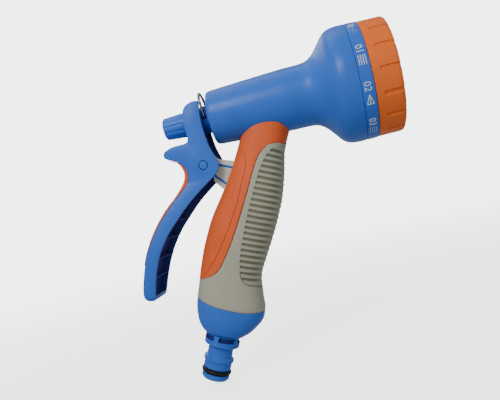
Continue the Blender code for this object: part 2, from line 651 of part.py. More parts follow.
def build_trigger(m):
    outline = LEVER_REAR + LEVER_FRONT[:-1]
    lever = lever_prism("trigger_lever", m["blue"], outline, 0.0)
    bevel(lever, 0.7, 1)
    way_out = [(-18.0, 54.0), (0.0, 60.0), (45.0, 100.0), (45.0, 133.0)]
    combine(lever, lever_prism("cut_channel", None, CHANNEL + way_out, CHEEK))
    fork = [(24.6, 128.0), (45.0, 128.0), (45.0, 170.0), (5.0, 170.0), (5.0, 135.6), (21.5, 135.6),
            (21.5, AXIS_Z), (22.84, 150.5), (24.6, 150.5)]
    combine(lever, prism("cut_fork", None, fork, LEVER_HALF - CHEEK))
    for x, z, slope in RIBS:
        combine(lever, rib(x, z, math.radians(slope)), "UNION")
    combine(lever, prism("cut_pin_hole", None, circle(PIVOT, PIN_R + GAP, 20), 20.0))
    combine(lever, rod("cut_rod_hole", None, 19.0, 27.0, 3.9))
    set_origin(lever, *PIVOT)

    inner = offset_line(LEVER_REAR, -GAP - 0.05)[13:26]
    pad = lever_prism("trigger_pad", m["orange"], PAD_OUTER + inner[::-1], 0.6)
    bevel(pad, 0.5, 1)
    set_origin(pad, *PIVOT)

    pin = [(-LEVER_HALF, 0.0), (-LEVER_HALF, PIN_R), (LEVER_HALF, PIN_R), (LEVER_HALF, 0.0)]
    pin = lathe("trigger_pin", m["blue"], pin, WORLD, 20)
    pin.rotation_euler = (math.radians(90), 0.0, 0.0)
    pin.location = (PIVOT[0] * MM, 0.0, PIVOT[1] * MM)


def rib(x, z, slope):
    """A thin cross wall in the lever's channel, square to the lever."""
    along = (math.cos(slope), math.sin(slope))
    across = (along[1], -along[0])
    outline = []
    for a, b in ((-0.5, 4.4), (-0.5, -1.2), (0.5, -1.2), (0.5, 4.4)):
        outline.append((x + along[0] * a + across[0] * b, z + along[1] * a + across[1] * b))
    return lever_prism("add_rib", None, outline, CHEEK - 0.5)


def build_bail(m):
    """A steel wire loop whose feet turn in the rear gland."""
    leg, wire, height, shoulder = 9.1, 0.75, 14.9, 8.3
    path = [(leg - 3.2, 0.0)]
    corner = 1.0
    for k in range(4):
        angle = math.radians(-90 + 30 * k)
        path.append((leg - corner + corner * math.cos(angle), corner + corner * math.sin(angle)))
    path.append((leg - 0.6, shoulder))
    top = height - shoulder
    for k in range(1, 7):
        angle = math.radians(15 * k)
        path.append(((leg - 0.6) * math.cos(angle), shoulder + top * math.sin(angle)))
    right = path
    left = [(-y, z) for y, z in right[-2::-1]]
    line = right + left
    bm = bmesh.new()
    rings = []
    for i, (y, z) in enumerate(line):
        before, after = line[max(i - 1, 0)], line[min(i + 1, len(line) - 1)]
        length = math.hypot(after[0] - before[0], after[1] - before[1])
        ny, nz = -(after[1] - before[1]) / length, (after[0] - before[0]) / length
        ring = []
        for k in range(8):
            turn = 2 * math.pi * k / 8
            out, side = wire * math.cos(turn), wire * math.sin(turn)
            ring.append(bm.verts.new((side * MM, (y + ny * out) * MM, (z + nz * out) * MM)))
        rings.append(ring)
    for ring_a, ring_b in zip(rings, rings[1:]):
        bridge(bm, ring_a, ring_b)
    bm.faces.new(rings[0])
    bm.faces.new(rings[-1])
    bail = add_object("lock_bail", bm, m["steel"])
    bail.location = (BAIL[0] * MM, 0.0, BAIL[1] * MM)
    bail.rotation_euler = (0.0, math.radians(-BAIL_REST), 0.0)


def main():
    clear_scene()
    m = make_materials()
    build_barrel(m)
    build_valve(m)
    build_knob(m)
    build_distributor(m)
    build_dial(m)
    build_handle(m)
    build_inlet(m)
    build_trigger(m)
    build_bail(m)


main()
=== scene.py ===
"""Looks of the hose spray nozzle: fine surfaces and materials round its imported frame.

Lengths are in millimetres until MM turns them into Blender's metres.
Two local frames are used. BARREL has its Z along the spray direction; GRIP has its Z (t) along the
handle and its X (u) towards the front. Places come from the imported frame's boxes, joints and mounts.
"""
import json
import math

import bmesh
import bpy
import numpy as np
from mathutils import Matrix, Vector


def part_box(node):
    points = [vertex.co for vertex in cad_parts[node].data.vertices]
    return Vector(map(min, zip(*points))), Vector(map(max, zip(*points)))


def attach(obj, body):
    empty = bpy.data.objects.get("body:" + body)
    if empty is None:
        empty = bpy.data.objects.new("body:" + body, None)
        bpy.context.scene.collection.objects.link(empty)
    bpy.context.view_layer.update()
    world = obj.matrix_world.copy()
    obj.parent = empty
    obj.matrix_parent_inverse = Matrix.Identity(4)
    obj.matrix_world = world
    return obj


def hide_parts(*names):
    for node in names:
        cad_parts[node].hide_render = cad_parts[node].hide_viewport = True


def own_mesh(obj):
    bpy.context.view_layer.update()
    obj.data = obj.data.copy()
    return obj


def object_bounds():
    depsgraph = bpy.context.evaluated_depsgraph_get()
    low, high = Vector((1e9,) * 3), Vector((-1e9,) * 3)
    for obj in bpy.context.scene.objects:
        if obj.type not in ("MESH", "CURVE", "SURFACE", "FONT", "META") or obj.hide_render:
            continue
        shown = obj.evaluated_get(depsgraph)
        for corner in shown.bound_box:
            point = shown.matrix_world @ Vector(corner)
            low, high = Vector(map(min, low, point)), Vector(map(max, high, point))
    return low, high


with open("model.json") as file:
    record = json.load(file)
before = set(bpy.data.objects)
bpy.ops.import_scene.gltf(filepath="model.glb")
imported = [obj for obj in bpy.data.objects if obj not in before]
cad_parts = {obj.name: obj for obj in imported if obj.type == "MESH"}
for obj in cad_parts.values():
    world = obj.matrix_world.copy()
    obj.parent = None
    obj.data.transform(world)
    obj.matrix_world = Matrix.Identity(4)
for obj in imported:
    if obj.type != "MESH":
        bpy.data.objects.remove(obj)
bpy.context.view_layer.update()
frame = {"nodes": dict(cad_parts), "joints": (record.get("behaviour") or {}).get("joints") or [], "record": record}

MM = 0.001
GAP = 0.25                # dark line between neighbouring mouldings
SHARP = math.radians(38)  # edges sharper than this are shaded sharp
THROUGH = 20.0            # half length of a cutter that goes right through


def extent(node, axis):
    """Lowest and highest place of a CAD node along one axis, in millimetres."""
    low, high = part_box(node)
    return low[axis] / MM, high[axis] / MM


def joint_place(name):
    found = [joint for joint in frame["joints"] if joint["name"] == name]
    return [value / MM for value in found[0]["pos_m"]]


def mount_axis(name):
    found = [mount for mount in frame["record"]["mounts"] if mount["name"] == name]
    return Vector(found[0]["axis"])


# Driving places
AXIS_Z = sum(extent("label_ring", 2)) / 2
INLET_AXIS = mount_axis("hose_inlet")
LEAN = math.atan2(-INLET_AXIS.x, -INLET_AXIS.z)
PIVOT = joint_place("trigger_squeeze")
PIVOT_XZ = (PIVOT[0], PIVOT[2])
BAIL = joint_place("bail_swing")
REAR_X = extent("barrel_shell", 0)[0]
BELL_X = extent("barrel_shell", 0)[1]
RING_X = extent("label_ring", 0)[1]
FRONT_X = extent("bumper_ring", 0)[1]
RING_R = (extent("label_ring", 2)[1] - extent("label_ring", 2)[0]) / 2
PLATE_X, PLATE_FRONT = extent("spray_plate", 0)
KNOB_REAR, KNOB_FRONT = extent("flow_knob", 0)
LEVER_HALF = extent("trigger_pin", 1)[1]
SKIN_HALF = extent("arm_skin", 1)[1]

WORLD = Matrix.Identity(4)
BARREL = Matrix.Translation((0, 0, AXIS_Z * MM)) @ Matrix.Rotation(math.radians(90), 4, "Y")
GRIP = Matrix.Rotation(LEAN, 4, "Y")


# -------- curves

def smooth(points, steps=6):
    """A Catmull-Rom curve through the points, ends included."""
    out = []
    last = len(points) - 1
    for i in range(last):
        a, b = points[max(i - 1, 0)], points[i]
        c, d = points[i + 1], points[min(i + 2, last)]
        for k in range(steps):
            s = k / steps
            out.append(tuple(
                0.5 * (2 * q + (r - p) * s + (2 * p - 5 * q + 4 * r - v) * s * s
                       + (3 * q - p - 3 * r + v) * s ** 3)
                for p, q, r, v in zip(a, b, c, d)))
    out.append(tuple(points[last]))
    return out


def rounded(points, steps=5, closed=False):
    """Replace each (x, y, fillet) corner by a short curve; points without a fillet stay."""
    out = []
    count = len(points)
    for i, point in enumerate(points):
        radius = point[2] if len(point) > 2 else 0.0
        at_end = not closed and i in (0, count - 1)
        if not radius or at_end:
            out.append((point[0], point[1]))
            continue
        corner = np.array(point[:2])
        sides = []
        for other in (points[i - 1], points[(i + 1) % count]):
            step = np.array(other[:2]) - corner
            length = np.linalg.norm(step)
            sides.append(corner + step / length * min(radius, length * 0.49))
        for k in range(steps + 1):
            s = k / steps
            bend = (1 - s) ** 2 * sides[0] + 2 * s * (1 - s) * corner + s * s * sides[1]
            out.append((float(bend[0]), float(bend[1])))
    return out


def divide(line, longest):
    """Add points so that no step of the line is longer than this."""
    out = [line[0]]
    for a, b in zip(line, line[1:]):
        parts = max(1, math.ceil(math.hypot(b[0] - a[0], b[1] - a[1]) / longest))
        for k in range(1, parts + 1):
            out.append((a[0] + (b[0] - a[0]) * k / parts, a[1] + (b[1] - a[1]) * k / parts))
    return out


def circle(centre, radius, count, start=0.0, end=360.0):
    steps = count if abs(end - start) >= 360.0 else count - 1
    angles = [math.radians(start + (end - start) * i / steps) for i in range(count)]
    return [(centre[0] + radius * math.cos(a), centre[1] + radius * math.sin(a)) for a in angles]


def side_step(a, b, distance):
    """A step to the left of the way from a to b."""
    length = math.hypot(b[0] - a[0], b[1] - a[1])
    return -(b[1] - a[1]) / length * distance, (b[0] - a[0]) / length * distance


def offset_line(points, distance):
    """Shift an open line sideways, to the left of its direction."""
    out = []
    for i, (x, z) in enumerate(points):
        dx, dz = side_step(points[max(i - 1, 0)], points[min(i + 1, len(points) - 1)], distance)
        out.append((x + dx, z + dz))
    return out


def step_up(value):
    """0 below 0, 1 above 1, smooth between."""
    value = min(max(value, 0.0), 1.0)
    return value * value * (3 - 2 * value)


# -------- meshes

def add_object(name, data):
    item = bpy.data.objects.new(name, data)
    bpy.context.scene.collection.objects.link(item)
    return item


def make_piece(name, material, points, faces, place=WORLD, groove=None):
    """A smooth-shaded object from points in millimetres; its faces point out.

    groove, if given, says for each point how deep in a groove it lies, for the material to paint shade there.
    """
    mesh = bpy.data.meshes.new(name)
    mesh.from_pydata([place @ (Vector(point) * MM) for point in points], [], faces)
    if groove:
        mesh.attributes.new("groove", "FLOAT", "POINT").data.foreach_set("value", groove)
    bm = bmesh.new()
    bm.from_mesh(mesh)
    bmesh.ops.remove_doubles(bm, verts=bm.verts, dist=1e-6)
    bmesh.ops.recalc_face_normals(bm, faces=bm.faces)
    bm.to_mesh(mesh)
    bm.free()
    mesh.shade_smooth()
    mesh.set_sharp_from_angle(angle=SHARP)
    if material:
        mesh.materials.append(material)
    return add_object(name, mesh)


def weave(rows, around=True, loop=False, caps=False):
    """Points and faces of a grid of rows; a row of one point closes an end."""
    points, index, faces = [], [], []
    for row in rows:
        index.append(range(len(points), len(points) + len(row)))
        points += row
    pairs = list(zip(index, index[1:]))
    if loop:
        pairs.append((index[-1], index[0]))
    for a, b in pairs:
        count = max(len(a), len(b))
        for i in range(count if around else count - 1):
            j = (i + 1) % count
            corners = (a[i % len(a)], b[i % len(b)], b[j % len(b)], a[j % len(a)])
            corners = list(dict.fromkeys(corners))
            if len(corners) > 2:
                faces.append(corners)
    if caps:
        faces += [list(index[0])[::-1], list(index[-1])]
    return points, faces


def turned(name, material, profile, place=BARREL, segments=128, offset=(0.0, 0.0), shape=None,
           longest=None):
    """Turn (along, radius, fillet) points about local Z.

    shape(along, radius, angle) adds to the radius, and longest is the longest step along the profile.
    """
    closes = profile[0][1] <= 0
    line = rounded(profile, closed=not closes)
    if longest:
        line = divide(line, longest)
    rows = []
    for along, radius in line:
        row = []
        for i in range(segments if radius > 0 else 1):
            angle = 2 * math.pi * i / segments
            r = radius + (shape(along, radius, angle) if shape else 0.0)
            row.append((offset[0] + r * math.cos(angle), offset[1] + r * math.sin(angle), along))
        rows.append(row)
    points, faces = weave(rows, loop=not closes)
    return make_piece(name, material, points, faces, place)


def drum(name, start, end, radius, place=BARREL, segments=48, offset=(0.0, 0.0)):
    """A plain cylinder, to cut with."""
    profile = [(start, 0.0), (start, radius), (end, radius), (end, 0.0)]
    return turned(name, None, profile, place, segments, offset)


def seal_ring(name, material, at, radius, thickness, place):
    """An O-ring of round section."""
    section = circle((at, radius), thickness / 2, 16)
    return turned(name, material, section, place, 96)


def prism(name, material, outline, half, place=WORLD, centre=0.0, levels=(), width=None):
    """Extrude an (x, z) outline to both sides. With width, the half width follows width(z)."""
    bm = bmesh.new()
    near = [bm.verts.new((x * MM, (centre - half) * MM, z * MM)) for x, z in outline]
    far = [bm.verts.new((x * MM, (centre + half) * MM, z * MM)) for x, z in outline]
    bm.faces.new(near)
    bm.faces.new(far)
    for i in range(len(outline)):
        j = (i + 1) % len(outline)
        bm.faces.new((near[i], far[i], far[j], near[j]))
    for z in levels:
        every = bm.verts[:] + bm.edges[:] + bm.faces[:]
        bmesh.ops.bisect_plane(bm, geom=every, plane_co=(0, 0, z * MM), plane_no=(0, 0, 1))
    if width:
        for vertex in bm.verts:
            vertex.co.y = math.copysign(width(vertex.co.z / MM) * MM, vertex.co.y)
    bmesh.ops.recalc_face_normals(bm, faces=bm.faces)
    bm.transform(place)
    mesh = bpy.data.meshes.new(name)
    bm.to_mesh(mesh)
    bm.free()
    if material:
        mesh.materials.append(material)
    return add_object(name, mesh)


def wire(name, material, path, radius, sides=16):
    """A round wire along world points, with domed ends."""
    path = [Vector(point) for point in path]
    rows = []
    side = None
    for i, point in enumerate(path):
        along = (path[min(i + 1, len(path) - 1)] - path[max(i - 1, 0)]).normalized()
        if side is None:
            side = along.orthogonal().normalized()
        side = (side - along * side.dot(along)).normalized()
        up = along.cross(side)
        rows.append([tuple(point + (side * math.cos(a) + up * math.sin(a)) * radius)
                     for a in [2 * math.pi * k / sides for k in range(sides)]])
    points, faces = weave([[tuple(path[0])]] + rows + [[tuple(path[-1])]])
    return make_piece(name, material, points, faces)


def settle(item):
    """Apply an object's modifiers."""
    graph = bpy.context.evaluated_depsgraph_get()
    mesh = bpy.data.meshes.new_from_object(item.evaluated_get(graph))
    item.modifiers.clear()
    item.data = mesh
    mesh.shade_smooth()
    mesh.set_sharp_from_angle(angle=SHARP)
    return item


def combine(item, others, operation="DIFFERENCE"):
    """Cut or join other objects, one after the other, and remove them."""
    for other in others:
        modifier = item.modifiers.new("Combine", "BOOLEAN")
        modifier.operation = operation
        modifier.object = other
        modifier.solver = "EXACT"
        modifier.material_mode = "TRANSFER"
    settle(item)
    for other in others:
        bpy.data.objects.remove(other, do_unlink=True)
    return item


def bevel(item, width):
    """Round an object's sharp edges."""
    modifier = item.modifiers.new("Edge", "BEVEL")
    modifier.width = width * MM
    modifier.segments = 3
    modifier.limit_method = "ANGLE"
    modifier.angle_limit = math.radians(35)
    return settle(item)


def thicken(item, thickness):
    """Turn a sheet into a closed wall, inwards from its outer face."""
    mesh = item.data
    middle = sum((vertex.co for vertex in mesh.vertices), Vector()) / len(mesh.vertices)
    if sum(face.normal.dot(face.center - middle) * face.area for face in mesh.polygons) < 0:
        mesh.flip_normals()
    modifier = item.modifiers.new("Wall", "SOLIDIFY")
    modifier.thickness = thickness * MM
    modifier.offset = -1.0
    return settle(item)


def install(item, body, slot, *nodes):
    """Put a finished piece on its body, in place of the CAD nodes it stands for."""
    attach(item, body)
    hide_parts(*nodes)
    return item


# -------- materials

def map_range(tree, source, reach, values, curve="LINEAR"):
    """Map a node's output from one range to another."""
    node = tree.nodes.new("ShaderNodeMapRange")
    node.interpolation_type = curve
    for name, value in zip(("From Min", "From Max", "To Min", "To Max"), (*reach, *values)):
        node.inputs[name].default_value = value
    tree.links.new(source, node.inputs["Value"])
    return node.outputs["Result"]


def mix_colours(tree, factor, first, second):
    """Mix two colours by a factor; each of them is a value or a node's output."""
    node = tree.nodes.new("ShaderNodeMix")
    node.data_type = "RGBA"
    for name, value in (("Factor", factor), ("A", first), ("B", second)):
        if isinstance(value, bpy.types.NodeSocket):
            tree.links.new(value, node.inputs[name])
        else:
            node.inputs[name].default_value = value
    return node.outputs["Result"]


def make_material(name, colour, roughness, metallic=0.0, grain=1400.0, grain_depth=0.05, spread=0.05,
                  mottle=60.0, wear=0.25, gloss=0.18):
    """A moulded or turned surface: mottled colour, fine grain, uneven gloss and paler worn edges."""
    material = bpy.data.materials.new(name)
    material.use_nodes = True
    tree = material.node_tree
    shader = tree.nodes["Principled BSDF"]
    shader.inputs["Metallic"].default_value = metallic
    shader.inputs["Specular IOR Level"].default_value = 0.5 if metallic else gloss
    coords = tree.nodes.new("ShaderNodeTexCoord")

    def noise(scale, detail):
        texture = tree.nodes.new("ShaderNodeTexNoise")
        texture.inputs["Scale"].default_value = scale
        texture.inputs["Detail"].default_value = detail
        tree.links.new(coords.outputs["Object"], texture.inputs["Vector"])
        return texture.outputs["Fac"]

    def tint(scale):
        return (*[min(1.0, c * scale) for c in colour], 1.0)

    # Mottled colour, paler on convex edges
    middle = (0.3, 0.7)
    base = mix_colours(tree, map_range(tree, noise(mottle, 3.0), middle, (0.0, 1.0)),
                       tint(1 - spread), tint(1 + spread))
    geometry = tree.nodes.new("ShaderNodeNewGeometry")
    edges = map_range(tree, geometry.outputs["Pointiness"], (0.52, 0.62), (0.0, wear))
    tree.links.new(mix_colours(tree, edges, base, tint(1.35)), shader.inputs["Base Color"])
    # Uneven gloss and fine grain
    rough = map_range(tree, noise(mottle * 3, 4.0), middle, (roughness - 0.05, roughness + 0.06))
    tree.links.new(rough, shader.inputs["Roughness"])
    bump = tree.nodes.new("ShaderNodeBump")
    bump.inputs["Strength"].default_value = grain_depth
    bump.inputs["Distance"].default_value = 0.2 * MM
    tree.links.new(noise(grain, 6.0), bump.inputs["Height"])
    tree.links.new(bump.outputs["Normal"], shader.inputs["Normal"])
    return material


def paint_groove_shade(material, colour):
    """Where a mesh has a groove attribute, the colour is mixed towards the given colour: painted shade in the
    grooves.
    """
    tree = material.node_tree
    base = tree.nodes["Principled BSDF"].inputs["Base Color"]
    attribute = tree.nodes.new("ShaderNodeAttribute")
    attribute.attribute_name = "groove"
    mixed = mix_colours(tree, attribute.outputs["Fac"], base.links[0].from_socket, (*colour, 1.0))
    tree.links.new(mixed, base)


BLUE = make_material("blue_abs", (0.033, 0.145, 0.60), 0.33, wear=0.06)
# Painted shade: a darker copy of the blue plastic for channels, pockets, windows and holes that lie in shade
INSIDE_SHADE = make_material("blue_abs_inside_painted_shade", (0.035, 0.050, 0.24), 0.6, wear=0.02, gloss=0.04)
# Painted shade: a darker copy of the blue plastic for the gland, which lies in shadow behind the lever
GLAND_SHADE = make_material("blue_abs_shaded", (0.018, 0.080, 0.38), 0.5, wear=0.03)
ORANGE = make_material("orange_soft_touch", (0.75, 0.118, 0.030), 0.52, grain=2200, grain_depth=0.12,
                       spread=0.06, wear=0.08)
RIM = make_material("orange_bumper", (0.82, 0.160, 0.024), 0.47, grain=1800, grain_depth=0.1, spread=0.05,
                    wear=0.08)
BEIGE = make_material("beige_soft_touch", (0.40, 0.395, 0.30), 0.55, grain=2200, grain_depth=0.14,
                      spread=0.04, wear=0.06)
# Painted light: a paler copy of the beige soft-touch for the arm's skin, standing in for the light the arm catches
LIT_BEIGE = make_material("beige_painted_lighter", (0.60, 0.59, 0.52), 0.55, grain=2200, grain_depth=0.12,
                     spread=0.03, wear=0.06)
STEEL = make_material("bright_steel", (0.26, 0.26, 0.27), 0.26, 1.0, grain=500, grain_depth=0.03)
BRASS = make_material("turned_brass", (0.62, 0.44, 0.18), 0.3, 1.0, grain=500, grain_depth=0.04)
RUBBER = make_material("black_seal", (0.012, 0.012, 0.014), 0.5, grain=1600, grain_depth=0.15, wear=0.1)
GREY = make_material("grey_acetal", (0.40, 0.42, 0.44), 0.42, grain=1200, grain_depth=0.06)
MARKING = make_material("white_marking", (0.62, 0.70, 0.80), 0.5, grain=900, wear=0.0)
# painted shade: the beige darkens towards this colour in its grooves and on the panel's outline
paint_groove_shade(BEIGE, (0.17, 0.17, 0.11))
SLOT_MATERIALS = {"blue_plastic": BLUE, "orange_grip": ORANGE, "orange_bumper": RIM, "beige_grip": BEIGE,
                  "steel": STEEL, "brass": BRASS, "black_rubber": RUBBER, "grey_plastic": GREY}


def paint_frame():
    """Every CAD node that stays gets its slot's material."""
    for part in frame["record"]["subparts"]:
        node = frame["nodes"][part["node"]]
        node.data.materials.clear()
        node.data.materials.append(SLOT_MATERIALS[part["material_slot"]])


# -------- barrel and dial

BELL = [(76.0, 17.5), (84.0, 17.5), (89.3, 18.2), (93.2, 20.6), (96.9, 24.7), (100.0, 28.7),
        (102.9, 31.0), (106.2, 32.0), (109.6, 32.25), (BELL_X - 0.25, 32.2), (BELL_X, 31.95)]
WALL = 2.4


def barrel_profile():
    """Outside of the barrel, from the rounded rear edge to the bell rim."""
    rear = [(REAR_X, 12.2), (REAR_X, 13.6), (REAR_X + 0.35, 14.6), (REAR_X + 1.1, 15.15),
            (REAR_X + 2.6, 15.5)]
    return smooth(rear, 4) + [(60.0, 16.8)] + smooth(BELL, 5)


def build_barrel():
    """Barrel and bell as one turned wall, and the gland behind it with its two pockets for the bail."""
    outside = barrel_profile()
    bore = 12.6
    inside = [(x, r - WALL) for x, r in smooth(BELL, 3) if r - WALL > bore + 0.2]
    back = [(REAR_X, 5.9), (REAR_X + 3.0, 5.9), (REAR_X + 3.0, bore), (inside[0][0] - 2.0, bore)]
    shell = turned("barrel_housing", BLUE, outside + (back + inside)[::-1], segments=160, longest=1.2)
    install(shell, "body", "blue_plastic", "barrel_shell")

    nose = extent("rear_gland", 0)[0]
    gland = [(nose, 2.3), (nose, 7.2, 0.5), (nose + 1.0, 8.0, 0.5), (REAR_X - 0.3, 8.0),
             (REAR_X - 0.3, 5.6), (37.2, 5.6), (37.2, 2.3)]
    # the gland housing is given the painted shade colour
    gland = turned("gland_housing", GLAND_SHADE, gland, segments=96)
    # the pockets' cut faces take the painted shade colour
    pockets = [prism("pocket", INSIDE_SHADE, circle((BAIL[0], BAIL[2]), 1.2, 24), 2.2, centre=side * 7.0)
               for side in (-1, 1)]
    install(combine(gland, pockets), "body", "blue_plastic", "rear_gland")


def build_label_ring():
    bore = 28.2
    ring = [(BELL_X + GAP, bore), (BELL_X + GAP, RING_R, 0.25), (RING_X, RING_R - 0.1, 0.25),
            (RING_X, bore)]
    install(turned("dial_ring", BLUE, ring, segments=180), "dial", "blue_plastic", "label_ring")


FLUTES = 16
FLUTE_PHASE = math.radians(273.2)
FLUTE_REAR = RING_X + 5.4
FLUTE_DEPTH, FLUTE_HALF, FLUTE_EDGE = 0.7, 1.3, 0.4


def flute_depth(along, radius, angle):
    """Shallow slots with a round rear end, open at the front."""
    if radius < RING_R - 3.0:
        return 0.0
    pitch = 2 * math.pi / FLUTES
    side = ((angle - FLUTE_PHASE + pitch / 2) % pitch - pitch / 2) * radius
    distance = abs(side) if along > FLUTE_REAR else math.hypot(side, FLUTE_REAR - along)
    return -FLUTE_DEPTH * step_up((FLUTE_HALF - distance) / FLUTE_EDGE)


def build_bumper():
    """Soft fluted ring round the front."""
    back, inner = RING_X + GAP, 27.6
    top = extent("bumper_ring", 2)[1] - AXIS_Z
    rim = [(back, inner), (back, top, 0.5), (FRONT_X - 2.0, top - 0.25), (FRONT_X - 0.7, top - 0.7),
           (FRONT_X, top - 2.0, 0.6), (FRONT_X, inner, 0.4)]
    ring = turned("bumper", RIM, rim, segments=960, shape=flute_depth, longest=0.45)
    install(ring, "dial", "orange_bumper", "bumper_ring")


# -------- dial labels and front

# Strokes of each spray pattern's sign, in a box 5 long and 3.6 high: start x, y, end x, y
SIGNS = [
    [(0.3, 0.4 + 0.93 * i, 4.7, 0.4 + 0.93 * i) for i in range(4)],
    [(0.3, 1.8, 4.4, 0.3), (0.3, 1.8, 4.4, 3.3), (4.4, 0.3, 4.4, 3.3), (0.3, 1.8, 4.4, 1.8)],
    [(0.5 + 1.15 * i, y, 0.85 + 1.15 * i, y) for i in range(4) for y in (0.4, 1.3, 2.3, 3.2)],
    [(0.3, 1.8, 4.7, 1.8)],
    [(0.4, 1.8, 4.6, 1.8), (0.4, 1.8, 4.4, 0.4), (0.4, 1.8, 4.4, 3.2)],
    [(0.4 + 1.1 * i, 0.5, 0.4 + 1.1 * i, 3.1) for i in range(4)],
    [(0.4, 0.5, 0.4, 3.1), (0.4, 1.8, 4.6, 1.8)],
    [(0.6, 0.8, 1.4, 1.6), (2.0, 2.0, 2.8, 2.8), (3.2, 0.8, 4.0, 1.6), (0.6, 2.6, 1.2, 3.2)],
    [(0.4, 0.4, 2.4, 3.2), (2.4, 3.2, 4.6, 0.4)],
    [(0.6, 1.8, 1.0, 1.8), (2.2, 1.8, 2.6, 1.8), (3.8, 1.8, 4.2, 1.8), (1.4, 0.6, 1.8, 0.6),
     (3.0, 3.0, 3.4, 3.0)],
]
LABEL_PHASE = math.radians(13.5)     # where the first label's middle stands on the near side
TYPE_SIZE, NUMBER_HEIGHT = 5.2, 3.7
SIGN_SCALE, SIGN_HEIGHT, SIGN_LENGTH = 1.2, 4.3, 6.0
SIGN_SPACE = 1.5                     # between a number and its sign


def number_mesh(text):
    """Flat faces of a number in millimetres, starting at x = 0."""
    curve = bpy.data.curves.new("number", "FONT")
    curve.body = text
    curve.size = TYPE_SIZE
    curve.resolution_u = 3
    item = add_object("number", curve)
    graph = bpy.context.evaluated_depsgraph_get()
    mesh = bpy.data.meshes.new_from_object(item.evaluated_get(graph))
    bpy.data.objects.remove(item, do_unlink=True)
    points = [tuple(vertex.co) for vertex in mesh.vertices]
    faces = [list(face.vertices) for face in mesh.polygons]
    return points, faces


def stroke_quads(strokes, start, width=0.42):
    """Flat bands along a sign's strokes, cut short enough to follow the ring."""
    longest = 1.2
    points, faces = [], []
    for stroke in strokes:
        ax, ay, bx, by = [SIGN_SCALE * value for value in stroke]
        nx, ny = side_step((ax, ay), (bx, by), width / 2)
        first = len(points)
        parts = max(1, math.ceil(math.hypot(bx - ax, by - ay) / longest))
        for k in range(parts + 1):
            x, y = ax + (bx - ax) * k / parts, ay + (by - ay) * k / parts
            points += [(start + x + nx, y + ny, 0.0), (start + x - nx, y - ny, 0.0)]
        for k in range(parts):
            a = first + 2 * k
            faces.append([a, a + 1, a + 3, a + 2])
    return points, faces


def build_labels():
    """Raised white numbers and signs, read down the near side with their tops towards the front."""
    middle = (BELL_X + RING_X) / 2
    radius = RING_R + 0.06
    pitch = 2 * math.pi / len(SIGNS)
    points, faces = [], []
    for i, strokes in enumerate(SIGNS):
        number, number_faces = number_mesh(f"{i + 1:02d}")
        width = max(point[0] for point in number)
        sign, sign_faces = stroke_quads(strokes, width + SIGN_SPACE)
        length = width + SIGN_SPACE + SIGN_LENGTH
        base = LABEL_PHASE - i * pitch + length / 2 / RING_R
        for part, part_faces, height in ((number, number_faces, NUMBER_HEIGHT),
                                         (sign, sign_faces, SIGN_HEIGHT)):
            first = len(points)
            for x, y, _ in part:
                angle = base - x / RING_R
                points.append((middle - height / 2 + y, -radius * math.cos(angle),
                               AXIS_Z + radius * math.sin(angle)))
            faces += [[first + k for k in face] for face in part_faces]
    labels = make_piece("dial_marks", MARKING, points, faces)
    modifier = labels.modifiers.new("Wall", "SOLIDIFY")
    modifier.thickness = 0.16 * MM
    modifier.offset = 0.0
    settle(labels)
    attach(labels, "dial")


def build_front():
    """Spray cup, front plate with its outlets, and the perforated centre."""
    cup_rear, cup_front = extent("spray_cup", 0)
    core, wall = 27.3, 2.2
    cup = [(cup_rear, core - wall), (cup_rear, core), (cup_front, core), (cup_front, core - wall)]
    install(turned("spray_housing", BLUE, cup, segments=128), "dial", "blue_plastic", "spray_cup")

    outlet_ring, patterns = 18.5, len(SIGNS)
    seat, hole, hole_ring = 3.4, 0.55, 1.9
    places = circle((0.0, 0.0), outlet_ring, patterns, 180.0, 540.0)
    face = PLATE_FRONT
    plate = [(PLATE_X, 9.3), (PLATE_X, core), (face - 0.5, core, 0.3), (face, core - 1.2, 0.5),
             (face - 0.5, core - 2.2, 0.3), (face - 0.5, 12.4, 0.3), (face, 11.4, 0.4), (face, 9.3, 0.25)]
    plate = turned("front_plate", BLUE, plate, segments=160)
    cutters = []
    for place in places[::2]:
        cutters.append(drum("seat", PLATE_X - 1, face + 1, seat, offset=place))
    for middle in places[1::2]:
        for place in [middle] + circle(middle, hole_ring, 6):
            cutters.append(drum("hole", PLATE_X - 1, face + 1, hole, segments=16, offset=place))
    install(combine(plate, cutters), "dial", "blue_plastic", "spray_plate")

    bores = {"jet_nozzle": 1.3, "cone_nozzle": 2.2, "mist_nozzle": 0.6, "flat_nozzle": 0.0,
             "centre_nozzle": 1.8}
    lip, back = face + 0.7, PLATE_X - 6.0
    for (node, bore), (x, y) in zip(bores.items(), places[::2]):
        body = [(back, 2.0), (back, 3.0), (lip, 3.0, 0.4), (lip, max(bore, 0.4) + 0.7, 0.15),
                (lip - 0.5, max(bore, 0.4), 0.15), (face - 1.6, max(bore, 0.4)), (face - 1.8, 2.0)]
        bush = turned(node.replace("nozzle", "outlet"), BEIGE, body, segments=64, offset=(x, y))
        if not bore:
            low, high = AXIS_Z - x - 0.35, AXIS_Z - x + 0.35
            slit = [(face - 1.0, low), (face + 2.0, low), (face + 2.0, high), (face - 1.0, high)]
            combine(bush, [prism("slit", BEIGE, slit, 1.9, centre=y)])
        install(bush, "dial", "beige_grip", node)

    rear, front = extent("shower_disc", 0)
    disc = [(rear, 0.0), (rear, 9.0), (front, 9.0, 0.4), (front, 0.0)]
    disc = turned("shower_rose", GREY, disc, segments=96)
    holes = []
    for radius, count in ((0.0, 1), (2.6, 6), (5.0, 12), (7.2, 18)):
        for k in range(count):
            a = 2 * math.pi * k / count + radius
            place = (radius * math.cos(a), radius * math.sin(a))
            holes.append(drum("rose_hole", rear - 1, front + 1, 0.42, segments=12, offset=place))
    install(combine(disc, holes), "dial", "grey_plastic", "shower_disc")


# -------- handle

